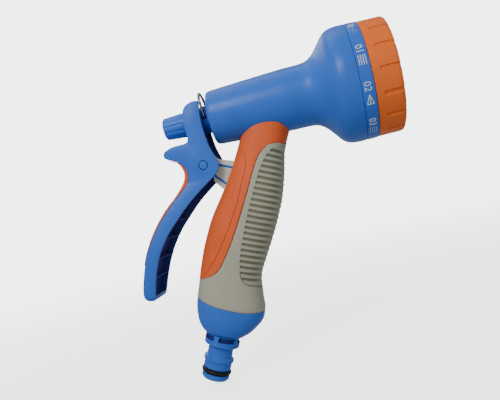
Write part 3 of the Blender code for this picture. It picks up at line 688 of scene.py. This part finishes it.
# Sections along the handle: t, rear u, front u, half width
HANDLE = [(40.0, -18.3, 20.8, 14.9), (46.0, -19.0, 20.5, 15.2), (52.0, -19.4, 18.3, 15.0),
          (58.0, -20.0, 16.4, 14.7), (65.0, -20.4, 15.1, 14.6), (72.0, -20.6, 15.6, 14.7),
          (80.0, -20.3, 16.5, 15.0), (90.0, -19.4, 17.5, 15.2), (100.0, -17.3, 18.0, 15.1),
          (108.0, -15.6, 18.1, 14.7), (115.0, -14.7, 17.5, 14.2), (122.0, -13.7, 16.6, 13.7),
          (130.0, -12.8, 15.1, 13.3), (137.0, -12.4, 14.0, 13.1), (145.0, -12.2, 14.0, 13.0),
          (152.0, -12.3, 14.6, 13.0), (157.0, -12.6, 15.0, 13.0)]
CAP = [(26.5, -9.9, 9.9, 9.9), (27.0, -11.2, 11.2, 11.0), (28.0, -12.4, 12.5, 12.0),
       (31.0, -15.0, 15.6, 13.4), (35.0, -16.8, 18.3, 14.4), (40.0, -18.3, 20.8, 14.9),
       (46.0, -19.0, 20.5, 15.2)]
POWER = 2.4               # roundness of the sections
TURN = 14.0               # millimetres per radian round the handle, about
GRIP_WALL = 1.7
# Lines on the side of the handle, u and t from the bottom up
SEAM = [(-24.0, 53.4), (-18.0, 55.5), (-11.4, 59.3), (-7.4, 64.8), (-4.4, 76.5), (-2.4, 90.4),
        (-1.0, 105.1), (-0.1, 120.0), (1.1, 129.0), (4.4, 135.4), (7.0, 137.2), (9.8, 138.3),
        (12.6, 138.8), (15.0, 139.0)]
PANEL = [(17.0, 58.1), (12.5, 58.3), (9.7, 58.6), (7.2, 59.6), (5.4, 61.5), (3.9, 64.6), (2.4, 71.7),
         (1.8, 79.4), (1.7, 87.0), (1.8, 99.0), (2.0, 106.4), (2.5, 114.3), (3.2, 121.7), (3.9, 125.7),
         (4.8, 129.3), (6.2, 132.3), (8.4, 135.0), (10.6, 136.2), (13.0, 136.9), (17.0, 137.2)]
CREASE = [(-18.5, 55.8), (-16.0, 58.4), (-13.2, 63.4), (-10.9, 70.0), (-9.1, 76.9), (-7.7, 84.0),
          (-6.6, 89.9), (-5.9, 95.2), (-5.4, 99.8), (-5.0, 106.2), (-5.1, 111.2), (-4.8, 115.7),
          (-4.7, 120.3), (-4.9, 124.1), (-6.1, 127.3), (-8.3, 130.3), (-12.0, 132.6)]
CAP_SEAM = (44.4, 1.7)    # height of the seam at front and rear, and its dip at the sides
GROOVES = 24
GROOVE_SPAN = (61.4, 133.6)          # first and last groove
GROOVE_HALF, GROOVE_DEPTH = 1.2, 0.75
PANEL_DEPTH, OUTLINE_DEPTH, CREASE_DEPTH = 0.22, 0.3, 0.45


def table_of(points, steps=8):
    """Columns of a smooth line, for interpolation over its rising column."""
    return np.array(smooth(points, steps)).T


HANDLE_TABLE = table_of(HANDLE)
CAP_TABLE = table_of(CAP)
PANEL_LOW = [point for point in divide(smooth(PANEL, 8), 0.25) if point[1] < 64.0]
SEAM_TABLE, PANEL_TABLE, CREASE_TABLE = table_of(SEAM), table_of(PANEL), table_of(CREASE)


def section(t, table):
    """Middle u, half depth and half width at t."""
    rear, front, half = [float(np.interp(t, table[0], column)) for column in table[1:]]
    return (rear + front) / 2, (front - rear) / 2, half


def surface(t, angle, table, inset=0.0):
    """Point of the handle's outside; angle 0 is the front."""
    middle, depth, half = section(t, table)
    c, s = math.cos(angle), math.sin(angle)
    u = middle + (depth - inset) * math.copysign(abs(c) ** (2 / POWER), c)
    y = (half - inset) * math.copysign(abs(s) ** (2 / POWER), s)
    return u, y


def angle_at(t, line):
    """Angle where the section at t meets a line on the side; 0 or pi past the section's ends."""
    middle, depth, _ = section(t, HANDLE_TABLE)
    u = float(np.interp(t, line[1], line[0]))
    share = max(-1.0, min(1.0, (u - middle) / depth))
    return math.acos(math.copysign(abs(share) ** (POWER / 2), share))


def spread_columns(knots, counts):
    """Values from knot to knot, with the given count of steps in each stretch."""
    out = [knots[0]]
    for a, b, count in zip(knots, knots[1:], counts):
        out += [a + (b - a) * k / count for k in range(1, count + 1)]
    return out


def groove_at(t, u):
    """0 outside the ribbed panel's grooves, 1 at their floor."""
    first, last = GROOVE_SPAN
    pitch = (last - first) / (GROOVES - 1)
    index = min(GROOVES - 1, max(0, round((t - first) / pitch)))
    centre = first + index * pitch
    end = float(np.interp(centre, PANEL_TABLE[1], PANEL_TABLE[0])) + 0.9
    distance = math.hypot(t - centre, max(0.0, end - u))
    return step_up((GROOVE_HALF - distance) / 0.9)


def outline_at(t, u):
    """1 on the fine line that closes the ribbed panel at the bottom, 0 off it."""
    if t > PANEL_LOW[-1][1] + 1.0:
        return 0.0
    distance = min(math.hypot(t - b, u - a) for a, b in PANEL_LOW)
    return step_up((0.45 - distance) / 0.3)


def seam_height(angle):
    return CAP_SEAM[0] - CAP_SEAM[1] * math.sin(angle) ** 2


def edge_drop(distance):
    """How far a moulding's edge falls away, to look rounded."""
    return 0.35 * (1 - math.sqrt(max(0.0, 1 - (1 - min(distance / 0.5, 1.0)) ** 2)))


def build_beige():
    """Front grip, with a sunk panel of cross grooves."""
    top = 138.9
    full_turn = 3.1           # a seam further round than this isn't there: the grip goes all round
    rows, shade = [], []
    coarse, fine, change = 0.7, 0.22, 58.0
    levels = [*np.arange(CAP_SEAM[0] + GAP, change, coarse), *np.arange(change, top, fine), top]
    for level in levels:
        seam = angle_at(level, SEAM_TABLE)
        panel = angle_at(level, PANEL_TABLE) if PANEL[0][1] <= level <= PANEL[-1][1] else 0.0
        panel = min(max(panel, 0.25 * seam), 0.92 * seam)
        edge = seam - min(0.04, 0.05 * seam)
        half = spread_columns([0.0, panel - 0.06, panel + 0.03, edge, seam], [34, 4, 16, 3])
        row = []
        for angle in [-a for a in half[:0:-1]] + half:
            rise = (level - levels[0]) / 12.0
            t = level - CAP_SEAM[1] * math.sin(angle) ** 2 * max(0.0, 1 - rise)
            u, y = surface(t, angle, HANDLE_TABLE)
            line = float(np.interp(level, PANEL_TABLE[1], PANEL_TABLE[0]))
            inside = PANEL[0][1] < level < PANEL[-1][1]
            groove = groove_at(t, u) if inside else 0.0
            fade = 0.3 + 0.7 * step_up((abs(angle) - 0.1) / 0.7)
            outline = outline_at(t, u)
            sunk = PANEL_DEPTH * step_up((u - line) / 0.5) if inside else 0.0
            at_seam = (seam - abs(angle)) * TURN if seam < full_turn else TURN
            drop = edge_drop(min(at_seam, level - levels[0], top - level))
            drop += GROOVE_DEPTH * groove * fade + sunk + OUTLINE_DEPTH * outline
            u, y = surface(t, angle, HANDLE_TABLE, drop)
            row.append((u, y, t))
            # how much painted shade the material puts here: in the grooves, fading towards the front, and on the
            # panel's outline line
            shade.append(max(groove * fade, 0.8 * outline))
        rows.append(row)
    points, faces = weave(rows, around=False)
    item = make_piece("beige_grip", BEIGE, points, faces, GRIP, groove=shade)
    install(thicken(item, GRIP_WALL), "body", "beige_grip", "grip_beige")


def build_orange():
    """Rear grip, with a fine crease round its thumb panel."""
    top = SEAM[-1][1]
    levels = sorted([*np.arange(54.95, 157.0, 0.4), *[top + d for d in (-0.15, 0.02, 0.12, 0.25, 0.55)]])
    rows = []
    for level in levels:
        seam = angle_at(level, SEAM_TABLE) + 0.013 if level < top else 0.0
        crease = angle_at(level, CREASE_TABLE)
        creased = CREASE[0][1] < level < CREASE[-1][1] and crease > seam + 0.08
        if not creased:
            crease = min(max(crease, seam + 0.4 * (math.pi - seam)), math.pi - 0.02)
        band = min(0.018, 0.1 * (math.pi - seam))
        edge = seam + min(0.04, 0.1 * (math.pi - seam))
        crease = max(crease, edge + 1.2 * band)
        half = spread_columns([seam, edge, crease - band, crease, crease + band, math.pi], [3, 22, 2, 2, 16])
        row = []
        for angle in half + [2 * math.pi - a for a in half[-2::-1]]:
            near = min(angle, 2 * math.pi - angle)
            over = math.hypot(max(0.0, level - top), max(0.0, near - 0.45) * TURN)
            drop = edge_drop((near - seam) * TURN if seam > 0 else over)
            if creased:
                drop += CREASE_DEPTH * max(0.0, 1 - abs(near - crease) / band)
            u, y = surface(level, angle, HANDLE_TABLE, drop)
            row.append((u, y, level))
        rows.append(row)
    points, faces = weave(rows, around=False)
    item = thicken(make_piece("orange_grip", ORANGE, points, faces, GRIP), GRIP_WALL)
    room = prism("arm_room", ORANGE, arm_outline(1.3), SKIN_HALF + 0.3)
    combine(item, [barrel_room(), room])
    install(item, "body", "orange_grip", "grip_orange")


def barrel_room():
    """The barrel's outside with a gap round it, to cut the handle with."""
    line = [(20.0, 0.0)] + [(x, r + GAP) for x, r in barrel_profile()] + [(BELL_X, 0.0)]
    return turned("barrel_room", ORANGE, line, segments=160)


def build_marks():
    """Three faint raised brackets on the thumb panel, on both sides."""
    path = [(-2.4, -1.5), (2.0, -1.5), (2.4, -1.1), (2.4, 1.1), (2.0, 1.5), (-2.4, 1.5)]
    for i, (u, t) in enumerate(((-10.9, 105.4), (-13.3, 90.0), (-14.7, 76.2))):
        for side in (-1, 1):
            line = []
            for du, dt in divide(path, 0.5):
                middle, depth, half = section(t + dt, HANDLE_TABLE)
                share = max(-0.999, (u + du - middle) / depth)
                y = half * (1 - abs(share) ** POWER) ** (1 / POWER)
                line.append((u + du, side * y, t + dt))
            place = [tuple(GRIP @ Vector(point)) for point in line]
            mark = wire(f"grip_mark_{i}_{'near' if side < 0 else 'far'}", ORANGE, place, 0.2, 8)
            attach(mark, "body")


def build_cap():
    """Blue base cap: a moulded cup with a waved top edge and a hole for the connector."""
    around = 144
    angles = [2 * math.pi * k / around for k in range(around)]
    hole, wall, level_top = 8.7, 2.3, 38.0

    def ring(level, inset, share=0.0):
        """A row at a level, or part of the way from there to the waved seam."""
        row = []
        for angle in angles:
            t = level + (seam_height(angle) - level) * share
            u, y = surface(t, angle, CAP_TABLE, inset)
            row.append((u, y, t))
        return row

    rows = [[(hole * math.cos(a), hole * math.sin(a), t) for a in angles] for t in (29.0, 26.5)]
    rows += [ring(26.5, 0.6), ring(26.65, 0.15)]
    rows += [ring(t, 0.0) for t in np.arange(27.0, level_top, 0.5)]
    rows += [ring(level_top, inset, share)
             for share, inset in ((0.0, 0.0), (0.3, 0.0), (0.6, 0.0), (0.85, 0.0), (0.93, 0.0), (0.975, 0.08),
                                  (1.0, 0.3), (1.0, wall), (0.0, wall))]
    rows.append(ring(33.0, wall))
    points, faces = weave(rows, loop=True)
    install(make_piece("cap", BLUE, points, faces, GRIP), "body", "blue_plastic", "base_cap")


def build_connector():
    """Quick-connect inlet with its seal, snap rib and castellated collar."""
    low, high, collar = 19.7, 26.2, 10.1
    line = [(0.0, 4.8, 0.3), (0.0, 6.9, 0.3), (1.2, 7.9, 0.4), (3.3, 7.9, 0.3), (3.3, 5.7), (6.5, 5.7),
            (6.5, 7.9, 0.3), (10.2, 7.9, 0.3), (11.0, 8.6, 0.3), (12.6, 8.6, 0.3), (13.6, 7.2, 0.6),
            (low - 0.6, 7.2, 0.5), (low, 8.4, 0.3), (low + 0.5, collar, 0.4), (low + 1.7, collar, 0.15),
            (low + 1.9, collar - 0.3, 0.1), (low + 2.1, collar, 0.15), (high, collar, 0.3), (high, 8.4),
            (52.2, 8.4), (52.2, 4.8)]
    body = turned("inlet_body", BLUE, line, GRIP, 120)
    windows, post, phase = 5, 17.0, -104.0
    pitch = 360.0 / windows
    cutters = []
    for i in range(windows):
        start, end = pitch * i + phase + post / 2, pitch * (i + 1) + phase - post / 2
        inner, outer = [circle((0.0, 0.0), radius, 11, start, end) for radius in (7.9, 13.0)]
        rows = [[(x, y, t) for x, y in inner + outer[::-1]] for t in (low + 3.4, high - 0.4)]
        points, faces = weave(rows, caps=True)
        # the windows' cut faces take the painted shade colour
        cutters.append(make_piece("window", INSIDE_SHADE, points, faces, GRIP))
    install(combine(body, cutters), "body", "blue_plastic", "inlet_connector")
    install(seal_ring("inlet_seal", RUBBER, 4.9, 7.3, 2.5, GRIP), "body", "black_rubber", "inlet_o_ring")


# -------- pivot arm

ARM = [(45.0, 114.5), (38.7, 117.6), (30.5, 120.6), (27.4, 123.0)]
ARM_LOWER = [(24.4, 112.9), (27.6, 108.8), (30.7, 104.8), (34.5, 100.6), (44.0, 100.0)]
ARM_R, ARM_HALF, BOSS_HALF = 6.2, 4.6, 9.6
PIN_HOLE_R = 2.7
STRIPES = [((24.0, 120.8), (37.4, 115.2)), ((24.0, 115.7), (32.0, 106.9))]


def arm_outline(grow=0.0):
    """Side outline of the arm, round the pivot and into the handle."""
    boss = circle(PIVOT_XZ, ARM_R + grow, 40, 50.0, 275.0)
    return offset_line(smooth(ARM, 4), -grow) + boss + offset_line(smooth(ARM_LOWER, 4), -grow)


def stripe_outline(ends, width):
    """A straight band between two points."""
    (ax, az), (bx, bz) = ends
    nx, nz = side_step(*ends, width / 2)
    return [(ax + nx, az + nz), (ax - nx, az - nz), (bx - nx, bz - nz), (bx + nx, bz + nz)]


def handle_loft(name, material, inset, first):
    """A plain solid inside the handle's outside."""
    rows = []
    for t in [first, *np.arange(math.ceil(first), 157.0, 1.5)]:
        rows.append([(*surface(t, 2 * math.pi * k / 64, HANDLE_TABLE, inset), t) for k in range(64)])
    points, faces = weave(rows, caps=True)
    return make_piece(name, material, points, faces, GRIP)


def build_arm():
    """Blue core with its pivot arm, and the soft skin over the arm."""
    core = handle_loft("handle_frame", BLUE, 2.6, 46.3)
    arm = bevel(prism("arm", BLUE, arm_outline(), ARM_HALF), 0.4)
    strips = [prism("strip", BLUE, stripe_outline(ends, 0.9), SKIN_HALF - 0.05) for ends in STRIPES]
    boss = bevel(prism("boss", BLUE, circle(PIVOT_XZ, ARM_R, 64), BOSS_HALF), 0.4)
    combine(core, [arm, boss] + strips, "UNION")
    # the pin hole's cut faces take the painted shade colour
    hole = prism("pin_hole", INSIDE_SHADE, circle(PIVOT_XZ, PIN_HOLE_R, 48), THROUGH)
    socket = drum("socket", 40.0, 53.5, 8.7, GRIP, 64)
    bore = drum("tube_bore", 30.0, 160.0, 5.5, GRIP, 64)
    install(combine(core, [barrel_room(), hole, socket, bore]), "body", "blue_plastic", "handle_core")

    # the arm's skin takes the paler, painted-light copy of the beige
    skin = bevel(prism("soft_arm", LIT_BEIGE, arm_outline(1.0), SKIN_HALF), 0.9)
    rooms = [prism("core_room", LIT_BEIGE, arm_outline(GAP), ARM_HALF + 0.3),
             handle_loft("room", LIT_BEIGE, 2.0, 46.3),
             prism("boss_room", LIT_BEIGE, [(0.0, 90.0), (25.6, 90.0), (25.6, 140.0), (0.0, 140.0)], THROUGH),
             prism("boss_ring", LIT_BEIGE, circle(PIVOT_XZ, ARM_R + GAP, 64), THROUGH)]
    rooms += [prism("strip_room", LIT_BEIGE, stripe_outline(ends, 1.3), THROUGH) for ends in STRIPES]
    install(combine(skin, rooms), "body", "beige_grip", "arm_skin")


# -------- trigger, knob and bail

LEVER_REAR = [(27.2, 155.0), (24.4, 155.3), (21.2, 154.6), (18.6, 152.6), (17.3, 149.2), (17.1, 143.0),
              (17.2, 136.4), (16.4, 134.0), (13.8, 133.4), (10.0, 133.4), (5.8, 132.8), (2.7, 131.3),
              (1.8, 129.0), (3.2, 127.1), (7.4, 125.4), (11.0, 122.5), (12.9, 118.8), (13.2, 115.2),
              (12.1, 112.2), (9.5, 109.3), (5.1, 105.7), (-1.2, 100.2), (-7.6, 93.7), (-13.4, 86.2),
              (-18.1, 78.7), (-21.5, 71.9), (-24.3, 64.5), (-26.2, 58.6), (-26.8, 54.8), (-25.7, 52.2),
              (-23.1, 51.2), (-21.1, 52.0)]
LEVER_FRONT = [(-20.2, 55.0), (-18.4, 61.0), (-15.2, 69.6), (-10.8, 78.1), (-4.4, 86.7), (3.2, 94.3),
               (10.5, 100.9), (18.2, 106.6), (25.2, 111.2), (29.0, 114.2), (30.9, 117.6), (30.7, 120.8),
               (29.1, 125.4), (27.7, 130.8), (26.8, 138.0), (26.6, 146.0), (27.2, 155.0)]
CHANNEL = [(24.6, 133.0), (18.0, 131.6), (12.0, 130.5), (7.6, 130.0), (5.9, 129.0), (7.9, 127.9),
           (12.0, 125.0), (14.8, 121.4), (15.7, 117.4), (15.2, 113.0), (12.6, 108.7), (7.5, 104.2),
           (1.2, 98.6), (-5.2, 92.1), (-10.9, 84.7), (-15.6, 77.2), (-18.9, 70.5), (-21.5, 63.6),
           (-23.3, 58.0), (-23.9, 55.2), (-22.7, 54.0)]
PAD = [(3.4, 126.5), (7.2, 124.9), (9.9, 121.8), (11.0, 117.6), (10.1, 113.8), (7.5, 110.2),
       (3.2, 105.7), (-3.3, 100.1), (-9.7, 93.1), (-15.5, 85.0), (-19.6, 77.6), (-21.9, 72.6)]
RIBS = [(-2.0, 95.4, 45.0), (-9.9, 86.2, 52.0), (-16.4, 75.7, 62.0), (-20.9, 65.3, 69.0)]
PLAN = [(50.9, 8.0), (51.6, 10.0), (53.4, 11.6), (57.0, 12.7), (64.0, 14.0), (73.0, 15.3), (82.0, 15.7),
        (92.0, 15.0), (102.0, 13.9), (112.0, LEVER_HALF)]      # height, half width
CHEEK = 2.7
PLAN_TABLE = table_of(PLAN, 3)


def lever_prism(name, material, outline, inset):
    """An extruded outline whose sides follow the lever's plan, the given inset inside them."""
    def width(z):
        return float(np.interp(z, *PLAN_TABLE)) - inset
    return prism(name, material, outline, LEVER_HALF, levels=PLAN_TABLE[0], width=width)


def lever_rib(x, z, slope):
    """A thin cross wall in the lever's channel, square to the lever."""
    slope = math.radians(slope)
    along = (math.cos(slope), math.sin(slope))
    across = (along[1], -along[0])
    outline = [(x + along[0] * a + across[0] * b, z + along[1] * a + across[1] * b)
               for a, b in ((-0.4, 3.4), (-0.4, -1.2), (0.4, -1.2), (0.4, 3.4))]
    # the ribs inside the channel get the painted shade colour
    return lever_prism("rib", INSIDE_SHADE, outline, CHEEK - 1.2)


def build_lever():
    """Channel-section lever with its forked head and cross ribs, its pad and its pin."""
    lever = lever_prism("lever", BLUE, smooth(LEVER_REAR + LEVER_FRONT, 4)[:-1], 0.0)
    bevel(lever, 0.8)
    way_out = [(-18.0, 54.0), (0.0, 60.0), (45.0, 100.0), (45.0, 133.0)]
    # the channel's and the fork's inner faces take the painted shade colour
    channel = lever_prism("channel", INSIDE_SHADE, smooth(CHANNEL, 4) + way_out, CHEEK - 0.9)
    fork = [(24.6, 128.0), (45.0, 128.0), (45.0, 170.0), (5.0, 170.0), (5.0, 135.6), (21.5, 135.6),
            (21.5, AXIS_Z), (22.84, 150.5), (24.6, 150.5)]
    fork = prism("fork", INSIDE_SHADE, fork, LEVER_HALF - CHEEK)
    combine(lever, [channel, fork])
    combine(lever, [lever_rib(*rib) for rib in RIBS], "UNION")
    # the pin hole's and rod hole's cut faces take the painted shade colour
    pin_hole = prism("pin_hole", INSIDE_SHADE, circle(PIVOT_XZ, PIN_HOLE_R, 64), THROUGH)
    combine(lever, [pin_hole, drum("rod_hole", 19.0, 27.0, 3.9)])
    install(lever, "trigger", "blue_plastic", "trigger_lever")

    first, last = 13, 26      # the part of the lever's rear that the pad covers
    inner = offset_line(LEVER_REAR, -0.35)[first:last]
    pad = lever_prism("pad", ORANGE, smooth(PAD, 4) + smooth(inner, 4)[::-1], 0.6)
    install(bevel(pad, 0.8), "trigger", "orange_grip", "trigger_pad")

    place = Matrix.Translation(Vector(PIVOT) * MM) @ Matrix.Rotation(math.radians(90), 4, "X")
    reach = LEVER_HALF
    pin = [(-reach, 0.0), (-reach, 1.5, 0.2), (-reach + 0.12, 1.7, 0.1), (-reach + 0.12, 2.3, 0.2),
           (-reach + 0.5, 2.4), (reach - 0.5, 2.4), (reach - 0.12, 2.3, 0.2), (reach - 0.12, 1.7, 0.1),
           (reach, 1.5, 0.2), (reach, 0.0)]
    install(turned("lever_pin", BLUE, pin, place, 64), "trigger", "blue_plastic", "trigger_pin")


def knob_flute(along, radius, angle):
    """Shallow finger grooves on the knob's taper."""
    if radius < 5.9 or along > 15.6:
        return 0.0
    pitch = 2 * math.pi / 12
    side = ((angle + pitch / 2) % pitch - pitch / 2) * radius
    reach = step_up((15.4 - along) / 1.5)
    return -0.3 * reach * step_up((1.0 - abs(side)) / 0.6)


def build_knob():
    """Flow knob: a fluted taper with a smooth collar, and a hole for the brass insert."""
    rear, front = KNOB_REAR, KNOB_FRONT
    line = [(rear, 0.0), (rear, 5.4, 0.4), (rear + 0.7, 6.3, 0.4), (15.0, 7.1), (16.2, 7.1, 0.3),
            (16.7, 6.6), (front, 6.6, 0.3), (front, 3.3), (7.0, 3.3), (7.0, 0.0)]
    knob = turned("water_knob", BLUE, line, segments=240, shape=knob_flute, longest=0.8)
    install(knob, "knob", "blue_plastic", "flow_knob")


def build_bail():
    """A sprung steel wire whose feet turn in the rear gland; it leans back a little."""
    leg, height, shoulder, corner = 9.1, 14.9, 8.3, 1.0
    lean = math.radians(5.0)
    right = [(leg - 3.2, 0.0), *circle((leg - corner, corner), corner, 7, -90.0, 0.0), (leg - 0.6, shoulder)]
    right += [((leg - 0.6) * math.cos(a), shoulder + (height - shoulder) * math.sin(a))
              for a in [math.radians(5 * k) for k in range(1, 19)]]
    loop = right + [(-y, z) for y, z in right[-2::-1]]
    path = [(BAIL[0] - z * math.sin(lean), y, BAIL[2] + z * math.cos(lean)) for y, z in loop]
    install(wire("bail_wire", STEEL, path, 0.75, 20), "bail", "steel", "lock_bail")


def build_spring(name, node, thickness, turns):
    """A coil spring filling its CAD node's box."""
    low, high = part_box(node)
    low, high = low / MM, high / MM
    middle = (low + high) / 2
    radius = (high.y - low.y) / 2 - thickness
    length = high.x - low.x
    steps = 24
    path = []
    for k in range(turns * steps + 1):
        angle = 2 * math.pi * k / steps
        along = low.x + thickness + (length - 2 * thickness) * k / (turns * steps)
        path.append((along, middle.y + radius * math.cos(angle), middle.z + radius * math.sin(angle)))
    coil = wire(name, STEEL, path, thickness, 10)
    install(coil, "body", "steel", node)
    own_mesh(coil)


# -------- lighting and camera

EYE, TARGET = Vector((0.07965, -0.3021, 0.0904)), Vector((0.0422, 0.0, 0.0953))
ROLL = math.radians(12.7)
LENS = 38.46
CENTRE = (0.05, 0.0, 0.09)
# Name, place, target, width and depth in metres, power in watts
LIGHTS = [("key", (-0.14, -0.46, 0.44), (0.06, 0.0, 0.12), (0.26, 0.26), 2.4),
          ("fill", (0.45, -0.8, 0.1), CENTRE, (0.5, 0.5), 0.5),
          ("top", (-0.1, 0.1, 0.8), CENTRE, (0.6, 0.4), 1.0),
          ("rear", (-0.35, 0.6, 0.45), CENTRE, (0.5, 0.5), 1.6)]
FLOOR_R, BEND_R, WALL_TOP, SIDES = 1.3, 0.8, 3.5, 96
GLOW_REACH, GLOW = (0.1, 1.2), (2.4, 4.4)        # the floor's glow, from the middle outwards


def place_camera():
    back = (EYE - TARGET).normalized()
    up = Vector((math.sin(ROLL), 0, math.cos(ROLL)))
    right = up.cross(back).normalized()
    up = back.cross(right)
    camera = add_object("camera", bpy.data.cameras.new("camera"))
    camera.matrix_world = Matrix.Translation(EYE) @ Matrix((right, up, back)).transposed().to_4x4()
    camera.data.lens = LENS
    camera.data.sensor_width = 36.0
    camera.data.clip_start = 0.01
    bpy.context.scene.camera = camera


def area_light(name, place, target, size, power):
    light = bpy.data.lights.new(name, "AREA")
    light.shape = "RECTANGLE"
    light.size, light.size_y = size
    light.energy = power
    item = add_object(name, light)
    item.location = place
    item.rotation_euler = (Vector(target) - Vector(place)).to_track_quat("-Z", "Y").to_euler()


def build_world():
    world = bpy.data.worlds.new("studio")
    world.use_nodes = True
    background = world.node_tree.nodes["Background"]
    background.inputs["Color"].default_value = (0.95, 0.97, 1.0, 1.0)
    background.inputs["Strength"].default_value = 0.42
    bpy.context.scene.world = world


def floor_material():
    """Pale and matt, with a soft glow that grows away from the middle."""
    pale = make_material("pale_sweep", (0.88, 0.88, 0.88), 0.8, grain=900, grain_depth=0.06, wear=0.0,
                         spread=0.01)
    tree = pale.node_tree
    shader = tree.nodes["Principled BSDF"]
    shader.inputs["Emission Color"].default_value = (0.97, 0.985, 1.0, 1.0)
    flat = tree.nodes.new("ShaderNodeVectorMath")
    flat.operation = "MULTIPLY"
    flat.inputs[1].default_value = (1.0, 1.0, 0.0)
    tree.links.new(tree.nodes["Texture Coordinate"].outputs["Object"], flat.inputs[0])
    far = tree.nodes.new("ShaderNodeVectorMath")
    far.operation = "LENGTH"
    tree.links.new(flat.outputs["Vector"], far.inputs[0])
    glow = map_range(tree, far.outputs["Value"], GLOW_REACH, GLOW, "SMOOTHSTEP")
    tree.links.new(glow, shader.inputs["Emission Strength"])
    return pale


def build_floor():
    """A round dish: level floor, swept up into a wall all the way round."""
    floor_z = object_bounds()[0].z - 0.5 * MM
    bend = circle((FLOOR_R, BEND_R), BEND_R, 15, -84.0, 0.0)
    profile = [(0.02, 0.0), (FLOOR_R, 0.0), *bend, (FLOOR_R + BEND_R, WALL_TOP)]
    rows = [[(x, y, floor_z + z) for x, y in circle((0.0, 0.0), r, SIDES)] for r, z in profile]
    corners, faces = weave(rows)
    faces.append(list(range(SIDES)))
    mesh = bpy.data.meshes.new("sweep")
    mesh.from_pydata(corners, [], faces)
    mesh.shade_smooth()
    mesh.materials.append(floor_material())
    sweep = add_object("sweep", mesh)
    sweep.visible_diffuse = False
    sweep.visible_glossy = False


paint_frame()
build_barrel()
build_label_ring()
build_bumper()
build_labels()
build_front()
build_beige()
build_orange()
build_marks()
build_cap()
build_connector()
build_arm()
build_lever()
build_knob()
build_bail()
build_spring("return_coil", "return_spring", 0.5, 8)
build_spring("detent_coil", "detent_spring", 0.2, 5)
place_camera()
build_world()
for lamp in LIGHTS:
    area_light(*lamp)
build_floor()
